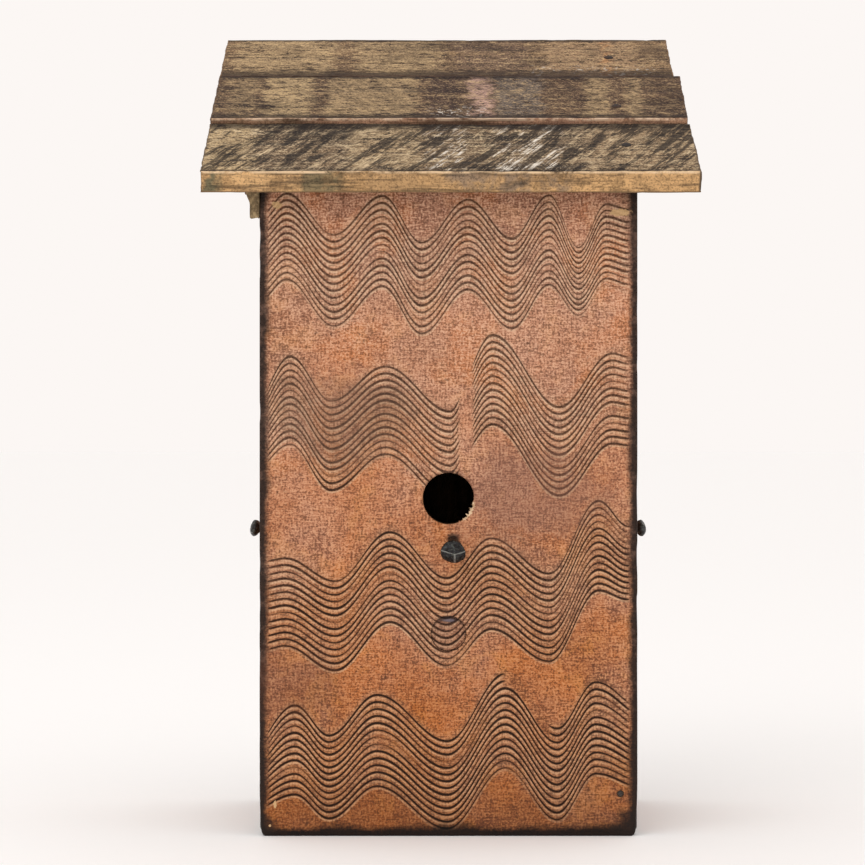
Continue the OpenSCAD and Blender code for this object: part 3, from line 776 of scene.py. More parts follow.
def baked(obj):
    """The object's mesh with its modifiers in it, and none left on it."""
    mesh = bpy.data.meshes.new_from_object(obj.evaluated_get(bpy.context.evaluated_depsgraph_get()))
    obj.modifiers.clear()
    obj.data = mesh
    return obj


def smoothed(obj):
    obj.data.polygons.foreach_set("use_smooth", [True] * len(obj.data.polygons))
    return obj


def wobble(points, scale, seed):
    """Smooth noise from about -1 to 1 at each point, the same on every run."""
    offset = Vector((seed * 7.31, seed * 3.77, seed * 5.13))
    return np.array([noise.noise(Vector(p) * scale + offset) for p in points])


def ring_faces(rows, columns):
    """Quads between rings of points, each ring closed."""
    first = np.arange(rows - 1)[:, None] * columns + np.arange(columns)[None, :]
    after = np.arange(rows - 1)[:, None] * columns + (np.arange(columns)[None, :] + 1) % columns
    return np.stack([first, after, after + columns, first + columns], -1).reshape(-1, 4).tolist()


def carried(obj, source):
    """Copies point attributes from the nearest point of the mesh that a cut was made in."""
    tree = kdtree.KDTree(len(source.vertices))
    for index, vertex in enumerate(source.vertices):
        tree.insert(vertex.co, index)
    tree.balance()
    nearest = np.array([tree.find(vertex.co)[1] for vertex in obj.data.vertices])
    names = [a.name for a in source.attributes if a.data_type == "FLOAT" or a.name == "board"]
    for name in names:
        kind, key, width = ("FLOAT_VECTOR", "vector", 3) if name == "board" else ("FLOAT", "value", 1)
        values = np.empty(len(source.vertices) * width, np.float32)
        source.attributes[name].data.foreach_get(key, values)
        if name in obj.data.attributes:
            obj.data.attributes.remove(obj.data.attributes[name])
        kept = obj.data.attributes.new(name, kind, "POINT")
        kept.data.foreach_set(key, values.reshape(-1, width)[nearest].ravel())


def bored(obj, places, radius, depth, material, flare=1.0):
    """Bores round holes into a board. A place's Z axis points out of the hole, from the board's face."""
    for place in places:
        profile = [(0.7 * radius, -depth), (radius, -0.85 * depth), (radius * flare, 0.0), (radius * flare, 0.002)]
        cut(obj, lathe("bored", profile, place, material, segments=32))
    return obj


def cut(obj, cutter, operation="DIFFERENCE"):
    """Cuts one closed mesh with another, and keeps the cutter's material on the new faces."""
    source = obj.data.copy()
    modifier = obj.modifiers.new("cut", "BOOLEAN")
    modifier.object = cutter
    modifier.operation = operation
    modifier.solver = "EXACT"
    modifier.material_mode = "TRANSFER"
    baked(obj)
    carried(obj, source)
    bpy.data.objects.remove(cutter)
    return obj


def lathe(name, profile, place, material, reach=None, segments=96):
    """A closed solid turned about place's Z axis. profile is a list of (radius, height), from one end to the other."""
    points = []
    for ring, (radius, height) in enumerate(profile):
        for step in range(segments):
            angle = 2 * math.pi * step / segments
            out = radius + (reach(angle, ring) if reach else 0)
            points.append(place @ Vector((out * math.cos(angle), out * math.sin(angle), height)))
    faces = ring_faces(len(profile), segments)
    faces.append(list(range(segments)))
    faces.append(list(range((len(profile) - 1) * segments, len(profile) * segments))[::-1])
    mesh = bpy.data.meshes.new(name)
    mesh.from_pydata(points, [], faces)
    obj = new_object(name, mesh, material)
    face_outwards(obj)
    return obj


def into_board(centre):
    """Place of a hole in an upright board: its axis runs along +Y from FRONT_Y's plane of zero."""
    return Matrix.Translation((centre.x, 0, centre.z)) @ Matrix.Rotation(math.radians(-90), 4, "X")


def face_outwards(obj):
    """Turns a closed mesh so that its faces point out, as its volume's sign shows."""
    mesh = obj.data
    mesh.calc_loop_triangles()
    total = 0.0
    for triangle in mesh.loop_triangles:
        a, b, c = (mesh.vertices[i].co for i in triangle.vertices)
        total += a.dot(b.cross(c))
    if total < 0:
        mesh.flip_normals()


# ---- Combed boards ----

# Each pass of the comb: its crests and troughs as across, lowest line and highest line, in millimetres. The third
# band was combed from the left and then again from the right, so it has two runs with a blank between them.
BLANK = (6.9 * MM, 12.6 * MM)
# Stretch where the comb's two upper teeth left the lowest band
SKIP = (32.5 * MM, 54.5 * MM)
FRONT_BANDS = [
    [
        [(-114, 12.5, 44), (-85.3, 23.1, 72.6), (-66.4, 9.8, 55.8), (-39.7, 27.7, 78.4), (-0.6, 4.3, 52.7)]
        + [(31.5, 37.9, 90.1), (60.4, 9.1, 59.7), (81.8, 34.8, 85.5), (110, 26.2, 69.5)]
    ],
    [
        [(-102, 103.7, 152.7), (-90.8, 105.7, 154.3), (-63, 92.1, 141.6), (-32.6, 118.9, 168.8), (-1, 94.8, 143.3)]
        + [(23.7, 115.1, 165.4), (56, 97.1, 145.8), (83.3, 136.5, 186.2), (99.9, 131.4, 172)]
    ],
    [
        [(-110, 201.9, 236.6), (-88, 217.7, 266.4), (-65.2, 192.2, 241.7), (-35, 212.2, 260.8), (1, 187, 235.8)]
        + [(11, 197, 249)],
        [(1.9, 205, 243), (24.4, 228.8, 278.3), (61.6, 189.2, 238.3), (91, 218.1, 268.1), (100.7, 217, 266)],
    ],
    [
        [(-104.7, 298, 345), (-90, 309.4, 357), (-63.7, 283.4, 334), (-36.7, 305.5, 355.7), (-15, 279.2, 329.7)]
        + [(10.8, 303.8, 353.6), (35.2, 282.1, 331.8), (55.9, 306.4, 356.1), (72.2, 289.4, 326.9)]
        + [(87.5, 306.4, 351), (100.7, 303, 348)]
    ],
]


def swing(run, x, column):
    """Height of a comb line at x, in metres: an even swing from each crest to the next trough."""
    across = np.array([crest[0] for crest in run]) * MM
    heights = np.array([crest[column] for crest in run]) * MM
    span = np.clip(np.searchsorted(across, x) - 1, 0, len(across) - 2)
    share = np.clip((x - across[span]) / (across[span + 1] - across[span]), 0, 1)
    return heights[span] + (heights[span + 1] - heights[span]) * (1 - np.cos(np.pi * share)) / 2


def comb_band(runs, x):
    """Lowest and highest line of a band at each x, and how firmly the comb was pressed there."""
    low, high = swing(runs[0], x, 1), swing(runs[0], x, 2)
    press = np.ones_like(x)
    for run in runs[1:]:
        start, stop = BLANK
        share = np.clip((x - start) / (stop - start), 0, 1)
        low = low * (1 - share) + swing(run, x, 1) * share
        high = high * (1 - share) + swing(run, x, 2) * share
        press = outside(x, BLANK, 0.0024)
    return low, high, press


def outside(x, stretch, fade):
    """0 between a stretch's two ends, and 1 from a short way past them."""
    start, stop = stretch
    return np.clip((np.abs(x - (start + stop) / 2) - (stop - start) / 2) / fade, 0, 1)


def side_bands(half, seed):
    """Four passes of the comb across a side wall, with crests that vary as a hand's do."""
    bands = []
    for level in range(4):
        count = round(2 * half / (26 * MM)) + 1
        run = []
        for step in range(count):
            sway = noise.noise(Vector((step * 1.7, level * 2.3, seed)))
            height = 20 + level * 88 + (11 if (step + level) % 2 else -9) + 9 * sway
            across = (-1 + 2 * step / (count - 1)) * (half / MM + 2) + (6 * sway if 0 < step < count - 1 else 0)
            run.append((across, height, height + 50))
        bands.append([run])
    return bands


def combed_board(name, half, bottom, top, bands, seed, thickness, column_gap=0.0015):
    """A board in its own place: x across, y into the board from its painted face at 0, z up.

    bottom(x) and top(x, y) are the board's lower and upper edges. The mesh's rows follow the comb's lines, so that
    each groove is cut as a groove.
    """
    paint = bpy.context.scene.birdhouse_paint
    arris = bpy.context.scene.birdhouse_timber.arris
    flat = np.linspace(-half + arris, half - arris, int(2 * half / column_gap))
    bend = [(math.sin(a), 1 - math.cos(a)) for a in (math.radians(30), math.radians(60), math.radians(90))]
    front_right = [(half - arris + arris * s, arris * c) for s, c in bend]
    rear = thickness - 0.0006
    side_right = [(half, y) for y in np.linspace(arris, rear, 5)[1:]]
    back = [(x, thickness) for x in np.linspace(half - 0.0006, -half + 0.0006, 13)]
    right = front_right + side_right
    left = [(-x, y) for x, y in right][::-1]
    outline = [(x, 0.0) for x in flat] + right + back + left
    across = np.array([p[0] for p in outline])
    deep = np.array([p[1] for p in outline])
    columns = len(outline)
    on_front = np.clip(1 - deep / arris, 0, 1) * (np.abs(across) < half)

    rows, grooves, ridges, combed = [], [], [], []

    def add_row(height, groove=0.0, ridge=0.0, band=0.0):
        rows.append(height)
        combed.append(np.broadcast_to(band, columns))
        grooves.append(np.broadcast_to(groove, columns))
        ridges.append(np.broadcast_to(ridge, columns))

    floor_line = bottom(across)
    roof_line = top(across, np.zeros(columns))
    for rise in (0.0, 0.0004, 0.0012):
        add_row(floor_line + rise)
    ends = np.clip((half - 0.0035 - np.abs(across)) / 0.003, 0, 1)
    for level, runs in enumerate(bands):
        low, high, press = comb_band(runs, across)
        spacing = (high - low) / (paint.teeth - 1)
        steep = np.sqrt(1 + np.gradient(low, across + np.arange(columns) * 1e-9) ** 2)
        steep = np.clip(np.nan_to_num(steep, nan=1.0, posinf=1.0), 1, 1.7)
        gap_start, gap_end = rows[-1], low - np.minimum(paint.ridge_reach * steep, 0.42 * spacing)
        for share in (0.1, 0.4, 0.7):
            add_row(gap_start + (gap_end - gap_start) * share)
        add_row(gap_end - np.clip(0.3 * (gap_end - gap_start), 0.0001, 0.0009))
        for tooth in range(paint.teeth):
            line = low + spacing * tooth
            waver = wobble([(x * 34, tooth * 9.1, level * 4.7 + seed) for x in across], 1.0, seed)
            depth = press * ends * np.clip(0.8 + 0.8 * waver, 0.25, 1.1)
            if bands is FRONT_BANDS and level == 0 and tooth > paint.teeth - 3:
                depth = depth * outside(across, SKIP, 0.004)
            edge = np.minimum(paint.groove_width * steep, 0.24 * spacing)
            shoulder = np.minimum(paint.ridge_reach * steep, 0.42 * spacing)
            # The ridge under a line gets full strength and the one over it a fifth: pale wax on both, and a painted
            # highlight under each groove
            add_row(line - shoulder, 0, depth, press)
            add_row(line - edge, depth * 0.17, depth * 0.45, press)
            add_row(line, depth, 0, press)
            add_row(line + edge, depth * 0.17, depth * 0.2, press)
            add_row(line + shoulder, 0, depth * 0.2, press)
    gap_start = rows[-1]
    for share in (0.1, 0.35, 0.6, 0.8):
        add_row(gap_start + (roof_line - 0.0014 - gap_start) * share)
    for drop in (0.0012, 0.0004, 0.0):
        add_row(roof_line - drop)

    heights = np.array(rows)
    groove = np.array(grooves) * on_front
    ridge = np.array(ridges) * on_front
    count = len(rows)
    lean = np.zeros(count)
    lean[-7:] = (0.15, 0.35, 0.6, 0.8, 1, 1, 1)
    heights = heights + lean[:, None] * (top(across, deep) - roof_line)[None, :]
    x = np.broadcast_to(across, heights.shape).copy()
    y = np.broadcast_to(deep, heights.shape).copy()
    for row, inset in ((0, 0.0009), (1, 0.0003), (-1, 0.0009), (-2, 0.0003)):
        x[row] = np.clip(x[row], -half + inset, half - inset)
        y[row] = np.clip(y[row], inset, thickness - inset)
    near_edge = np.clip(1 - (half - np.abs(x)) / 0.004, 0, 1) * np.clip(1 - y / 0.006, 0, 1)
    knocks = wobble(np.stack([x, y, heights], -1).reshape(-1, 3), 85, seed + 3).reshape(heights.shape)
    knocks = np.clip(knocks - 0.1, 0, 1) * near_edge * 0.0011
    corner_wear = np.clip(1 - (heights - floor_line) / 0.03, 0, 1) ** 2 * near_edge * 0.0011
    x -= np.sign(x) * (knocks + corner_wear)
    y += knocks
    sway = wobble(np.stack([x, y * 0, heights], -1).reshape(-1, 3), 16, seed + 8).reshape(heights.shape)
    y += (groove * paint.groove_depth - ridge * 0.00009 + (sway * 0.00012 + 0.00014)) * on_front

    mesh = bpy.data.meshes.new(name)
    faces = ring_faces(count, columns)
    faces.append(list(range(columns))[::-1])
    faces.append(list(range((count - 1) * columns, count * columns)))
    mesh.from_pydata(np.stack([x, y, heights], -1).reshape(-1, 3).tolist(), [], faces)
    inset = np.minimum(half - np.abs(x), np.minimum(0.8 * (heights - floor_line), roof_line - heights + 0.001))
    inset = np.minimum(inset, np.where(y > 0.002, 0.0, 1.0))
    store(mesh, "groove", groove)
    store(mesh, "ridge", ridge)
    store(mesh, "combed", np.array(combed) * on_front)
    store(mesh, "inset", np.clip(inset, 0, 1))
    store(mesh, "paint", np.where(y > thickness - 0.0008, 0.0, 1.0))
    obj = new_object(name, mesh)
    face_outwards(obj)
    return smoothed(obj)


def settled(obj, matrix):
    """Puts the place into the mesh, so that the object sits at the origin."""
    obj.data.transform(matrix)
    return obj


# ---- Operators ----


class MakeFrontBoard(bpy.types.Operator):
    """Front board with combed paint, its chipped entrance, the plugged hole and the punched nail hole"""

    bl_idname = "birdhouse.front_board"
    bl_label = "Front Board"

    def execute(self, context):
        corner = 0.003

        def bottom(x):
            past = np.clip(np.abs(x) - (HALF_WIDTH - corner), 0, corner)
            return corner - np.sqrt(np.maximum(corner**2 - past**2, 0))

        def top(x, y):
            return EAVES_FRONT + y * math.tan(SLOPE) + x * 0

        board = combed_board("front_board_painted", HALF_WIDTH, bottom, top, FRONT_BANDS, 1, WALL)
        chips = [
            (Vector((-0.0955, FRONT_Y, 0.3505)), (300, 0, 500)),
            (Vector((0.0955, FRONT_Y, 0.3465)), (150, 0, 420)),
            (Vector((-0.0964, FRONT_Y, 0.0175)), (1100, 0, 420)),
            (Vector((-0.0992, FRONT_Y, 0.0058)), (1300, 0, 1300)),
        ]
        plug_centre = (PLUG_LOW + PLUG_HIGH) / 2
        plug_radius = (PLUG_HIGH.x - PLUG_LOW.x) / 2
        rings = [(plug_centre, plug_radius - 0.0004, 0.6), (ENTRANCE, ENTRANCE_RADIUS + 0.0008, 0.2)]
        perch_low, perch_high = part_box("perch_nail")
        perch_root = Vector(((perch_low.x + perch_high.x) / 2, FRONT_Y, perch_high.z - 0.0048))
        rim_tone = tuple(context.scene.birdhouse_paint.rim_colour)
        smudges_and_shadows = [
            (Vector((HALF_WIDTH, FRONT_Y, 0.008)), (55, 0, 75), 70, rim_tone, 0.85),
            (Vector((-HALF_WIDTH, FRONT_Y, 0.005)), (95, 0, 110), 70, rim_tone, 0.85),
            (Vector((HALF_WIDTH, FRONT_Y, 0.362)), (65, 0, 70), 70, rim_tone, 0.85),
            (Vector((-HALF_WIDTH, FRONT_Y, 0.362)), (95, 0, 75), 70, rim_tone, 0.85),
            # Painted shadow round the perch nail's shank, where it enters the board
            (perch_root, (190, 0, 230), 300, rim_tone, 0.8),
            (Vector((0.045, FRONT_Y, 0.188)), (20, 0, 28), 70, srgb(122, 84, 70), 0.42),
            (Vector((-0.086, FRONT_Y, 0.085)), (32, 0, 40), 70, srgb(104, 62, 42), 0.3),
            (Vector((-0.055, FRONT_Y, 0.232)), (19, 0, 30), 70, srgb(104, 78, 64), 0.4),
        ]
        # Painted shadow: a dark crescent at the plug's top, where its face sinks below the board's, and a thin grey
        # line just under it
        crescent_centre = plug_centre + Vector((0, 0, 0.78 * plug_radius))
        gap = [
            (crescent_centre, (150, 0, 480), 300, srgb(48, 40, 44), 0.85),
            (crescent_centre - Vector((0, 0, 0.0003)), (250, 0, 1000), 300, srgb(138, 126, 132), 0.65),
        ]
        board.data.materials.append(copper_paint("front_copper", (1, 1, 1), (0, 0, 0), chips, rings, smudges_and_shadows))
        settled(board, Matrix.Translation((0, FRONT_Y, 0)))
        plug = new_object("hole_plug_painted", board.data.copy())
        plug.data.materials[0] = copper_paint("plug_copper", (0.8, 0.79, 0.82), (0, 0, 0), (), rings[:1], gap)
        hole_wood = bare_wood("cut_wood", srgb(120, 92, 62), srgb(74, 52, 36), upright=True)
        deep = FRONT_Y + WALL + 0.002
        cut(board, self.entrance_cutter(deep, hole_wood))
        recess = [(plug_radius + 0.00012, FRONT_Y - 0.002), (plug_radius + 0.00012, FRONT_Y + 0.0002)]
        recess += [(plug_radius + 0.00005, FRONT_Y + 0.0008), (plug_radius + 0.00005, deep)]
        cut(board, lathe("plug_hole", recess, into_board(plug_centre), hole_wood))
        nail_place = min((driven(points)[0] for points in solids("front_board_nails")), key=self.lowest_beside)
        dent = [(0.0024, FRONT_Y - 0.002), (0.0019, FRONT_Y + 0.0004), (0.0017, FRONT_Y + 0.0014)]
        cut(board, lathe("nail_dent", dent, into_board(nail_place), hole_wood, segments=24))
        core = [(plug_radius - 0.00006, FRONT_Y - 0.002), (plug_radius - 0.00006, FRONT_Y + WALL - 0.0004)]
        cut(plug, lathe("plug_core", core, into_board(plug_centre), hole_wood), "INTERSECT")
        hinge = Matrix.Translation(plug_centre + Vector((0, 0.0006, 0)))
        settled(plug, hinge @ Matrix.Rotation(math.radians(-2.5), 4, "X") @ Matrix.Translation(-plug_centre))
        finished(board, ["front_board"], "house")
        finished(plug, ["hole_plug"], "house")
        return {"FINISHED"}

    def lowest_beside(self, place):
        """Puts the lowest nail that goes into the right wall before the others."""
        return (place.x < HALF_WIDTH - WALL, place.z)

    def entrance_cutter(self, deep, material):
        """The entrance, with its rim splintered: most at the lower right, and one notch near the top."""

        def chip(angle, ring):
            if ring not in (1, 2):
                return 0.0
            way = Vector((math.cos(angle), math.sin(angle), 0.4 + ring))
            splinters = abs(noise.noise(way * 8)) + 0.7 * abs(noise.noise(way * 23))
            lower_right = max(0.0, math.cos(angle - math.radians(33))) ** 6
            notch = math.exp(-(((angle - math.radians(259)) / 0.09) ** 2))
            if ring == 2:
                teeth = max(0.0, noise.noise(way * 27) + 0.12) + 0.5 * max(0.0, noise.noise(way * 61))
                return -0.003 * teeth * lower_right
            return 0.0001 + 0.0003 * splinters + 0.002 * splinters * lower_right + 0.0014 * notch

        profile = [
            (ENTRANCE_RADIUS, FRONT_Y - 0.002),
            (ENTRANCE_RADIUS, FRONT_Y + 0.0001),
            (ENTRANCE_RADIUS, FRONT_Y + 0.0009),
            (ENTRANCE_RADIUS, FRONT_Y + 0.003),
            (ENTRANCE_RADIUS, deep),
        ]
        cutter = lathe("entrance", profile, into_board(ENTRANCE), material, chip, 240)
        cutter.data.materials.append(bare_wood("chipped_wood", srgb(236, 208, 172), srgb(176, 138, 102)))
        cutter.data.materials.append(bpy.data.materials["front_copper"])
        chipped_way = Vector((math.cos(math.radians(33)), 0, -math.sin(math.radians(33))))
        for polygon in cutter.data.polygons:
            way = (polygon.center - ENTRANCE) * Vector((1, 0, 1))
            grain = 0.08 * noise.noise(polygon.center * 900)
            chipped = way.length and way.normalized().dot(chipped_way) + grain > 0.9
            if chipped and polygon.center.y < FRONT_Y + 0.0012:
                polygon.material_index = 1
            elif polygon.center.y < FRONT_Y + 0.0008:
                polygon.material_index = 2
        return cutter


class MakeSideWalls(bpy.types.Operator):
    """Right wall and the wall that swings out, both combed like the front"""

    bl_idname = "birdhouse.side_walls"
    bl_label = "Side Walls"

    def execute(self, context):
        self.wall("right_wall_painted", RIGHT_LOW, RIGHT_HIGH, 1, 0.0, 4, "right_wall", "house")
        vent = eaves(DOOR_HIGH.y) - DOOR_HIGH.z
        self.wall("side_door_painted", DOOR_LOW, DOOR_HIGH, -1, vent, 6, "side_door", "door")
        return {"FINISHED"}

    def wall(self, name, low, high, side, vent, seed, node, body):
        half = (high.y - low.y) / 2
        middle = (high.y + low.y) / 2

        def bottom(x):
            return x * 0 + low.z

        def top(x, y):
            return eaves(middle + side * x) - vent

        obj = combed_board(name, half, bottom, top, side_bands(half, seed), seed, high.x - low.x)
        face = high.x if side > 0 else low.x
        turn = Matrix.Rotation(math.radians(90 * side), 4, "Z")
        settled(obj, Matrix.Translation((face, middle, 0)) @ turn)
        tone = (0.93, 0.93, 0.93)
        obj.data.materials.append(copper_paint(name.replace("painted", "copper"), tone, (0.3 * side, 0.2, 0.1)))
        finished(obj, [node], body)


def geometry_tree(name, inputs):
    """An empty geometry tree with a mesh in and out, and the given named inputs."""
    tree = bpy.data.node_groups.new(name, "GeometryNodeTree")
    tree.interface.new_socket(name="Geometry", in_out="INPUT", socket_type="NodeSocketGeometry")
    tree.interface.new_socket(name="Geometry", in_out="OUTPUT", socket_type="NodeSocketGeometry")
    for label, kind, default in inputs:
        socket = tree.interface.new_socket(name=label, in_out="INPUT", socket_type=kind)
        if default is not None:
            socket.default_value = default
    return tree, Wires(tree), tree.nodes.new("NodeGroupInput").outputs, tree.nodes.new("NodeGroupOutput")


def grown(name, tree, values, points=((0, 0, 0),)):
    """Runs a geometry tree on a few points and returns the plain object that it makes."""
    mesh = bpy.data.meshes.new(name)
    mesh.from_pydata([tuple(p) for p in points], [], [])
    obj = new_object(name, mesh)
    modifier = obj.modifiers.new("grow", "NODES")
    modifier.node_group = tree
    for item in tree.interface.items_tree:
        if item.in_out == "INPUT" and item.name in values:
            modifier[item.identifier] = values[item.name]
    return baked(obj)


def weathered_board_tree():
    """A board with worn arrises, raised grain, saw marks and split ends, in any size."""
    found = bpy.data.node_groups.get("weathered_board")
    if found:
        return found
    tree, wires, source, sink = geometry_tree(
        "weathered_board",
        [
            ("Size", "NodeSocketVector", (0.2, 0.07, 0.015)),
            ("Steps Along", "NodeSocketInt", 110),
            ("Steps Across", "NodeSocketInt", 50),
            ("Steps Through", "NodeSocketInt", 11),
            ("Arris", "NodeSocketFloat", 0.001),
            ("Wear", "NodeSocketFloat", 1.0),
            ("Grain Depth", "NodeSocketFloat", 0.0002),
            ("Saw Depth", "NodeSocketFloat", 0.0002),
            ("Seed", "NodeSocketFloat", 0.0),
            ("Shear", "NodeSocketFloat", 0.0),
            ("End Slope", "NodeSocketFloat", 0.0),
            ("Turn", "NodeSocketVector", (0, 0, 0)),
            ("Place", "NodeSocketVector", (0, 0, 0)),
            ("Finish", "NodeSocketMaterial", None),
        ],
    )
    steps = {
        "Size": source["Size"],
        "Vertices X": source["Steps Along"],
        "Vertices Y": source["Steps Across"],
        "Vertices Z": source["Steps Through"],
    }
    block = wires.add("GeometryNodeMeshCube", named=steps).outputs["Mesh"]
    half = wires.scaled(source["Size"], 0.5)
    share = wires.vector("DIVIDE", wires.tree.nodes.new("GeometryNodeInputPosition").outputs[0], half)
    curl = wires.vector("SINE", wires.scaled(share, math.pi))
    crowded = wires.vector("ADD", share, wires.scaled(curl, 0.62 / math.pi))
    point = wires.vector("MULTIPLY", crowded, half)
    drift = wires.merge(source["Seed"], wires.maths("MULTIPLY", source["Seed"], 1.7), 0.0)
    seeded = wires.vector("ADD", point, drift)
    chips = wires.remap(wires.noise(seeded, 60, 3, 0.6), 0.5, 0.75)
    radius = wires.maths("MULTIPLY", source["Arris"], wires.maths("MULTIPLY_ADD", wires.maths("MULTIPLY", chips, source["Wear"]), 1.6, 0.7))
    inside = wires.vector("SUBTRACT", half, wires.merge(radius, radius, radius))
    inner = wires.vector("MAXIMUM", wires.vector("MINIMUM", point, inside), wires.scaled(inside, -1.0))
    outward = wires.vector("NORMALIZE", wires.vector("SUBTRACT", point, inner))
    rounded = wires.vector("ADD", inner, wires.scaled(outward, radius))
    fibre = wires.noise(seeded, 1, 3, 0.6, 0.2, stretch=(14, 420, 420))
    broad = wires.noise(seeded, 1, 2, 0.5, 0.0, stretch=(6, 70, 70))
    grain = wires.maths("MULTIPLY", wires.remap(fibre, 0.62, 0.3), source["Grain Depth"])
    hollow = wires.maths("MULTIPLY", wires.remap(broad, 0.7, 0.3), wires.maths("MULTIPLY", source["Grain Depth"], 1.4))
    x, y, z = wires.split(seeded)
    slant = wires.maths("MULTIPLY_ADD", y, -0.43, x)
    chatter = wires.noise(wires.merge(slant, wires.maths("MULTIPLY", y, 0.12), 0.0), 330, 2, 0.5)
    sawn = wires.maths("MULTIPLY", wires.remap(chatter, 0.6, 0.4), source["Saw Depth"])
    top_face = wires.remap(wires.split(outward)[2], 0.6, 0.95)
    sink_by = wires.maths("ADD", wires.maths("ADD", grain, hollow), wires.maths("MULTIPLY", sawn, top_face))
    end_face = wires.remap(wires.maths("ABSOLUTE", wires.split(outward)[0]), 0.5, 0.95)
    check_line = wires.noise(seeded, 1, 1, 0.5, 0.0, stretch=(2, 260, 60))
    splits = wires.maths("MULTIPLY", wires.remap(check_line, 0.36, 0.28), wires.maths("MULTIPLY", end_face, 0.0022))
    sink_by = wires.maths("ADD", sink_by, splits)
    sideways = wires.maths("MAXIMUM", wires.maths("ABSOLUTE", wires.split(outward)[1]), end_face)
    uneven = wires.maths("MULTIPLY", wires.remap(wires.noise(seeded, 34, 3, 0.6), 0.42, 0.72), wires.remap(sideways, 0.5, 0.95))
    sink_by = wires.maths("MULTIPLY_ADD", uneven, wires.maths("MULTIPLY", source["Wear"], 0.0012), sink_by)
    weathered = wires.vector("SUBTRACT", rounded, wires.scaled(outward, sink_by))
    wx, wy, wz = wires.split(weathered)
    hx = wires.split(half)[0]
    skew = wires.maths("MULTIPLY", wires.maths("MULTIPLY", wy, source["Shear"]), wires.remap(wx, 0.0, 0.12))
    end = wires.remap(wires.maths("DIVIDE", wx, hx), 0.86, 1.0, smooth=False)
    raised = wires.maths("MULTIPLY", wires.maths("MULTIPLY", wz, source["End Slope"]), end)
    shaped = wires.merge(wires.maths("ADD", wires.maths("ADD", wx, skew), raised), wy, wz)
    moved = wires.add("GeometryNodeSetPosition", named={"Geometry": block, "Position": shaped}).outputs[0]
    kept = wires.tree.nodes.new("GeometryNodeStoreNamedAttribute")
    kept.data_type = "FLOAT_VECTOR"
    wires.join(kept.inputs["Geometry"], moved)
    wires.join(kept.inputs["Name"], "board")
    wires.join(kept.inputs["Value"], wires.tree.nodes.new("GeometryNodeInputPosition").outputs[0])
    placed = wires.add(
        "GeometryNodeTransform",
        named={"Geometry": kept.outputs[0], "Translation": source["Place"], "Rotation": source["Turn"]},
    )
    smooth = wires.add("GeometryNodeSetShadeSmooth", named={"Geometry": placed.outputs[0]})
    real = wires.add("GeometryNodeRealizeInstances", smooth.outputs[0])
    dressed = wires.add("GeometryNodeSetMaterial", named={"Geometry": real.outputs[0], "Material": source["Finish"]})
    tree.links.new(dressed.outputs[0], sink.inputs[0])
    return tree


def board_steps(size, gap=0.0017, along_gap=0.0026):
    return {
        "Steps Along": int(size[0] / along_gap) + 8,
        "Steps Across": int(size[1] / gap) + 6,
        "Steps Through": int(size[2] / gap) + 6,
    }


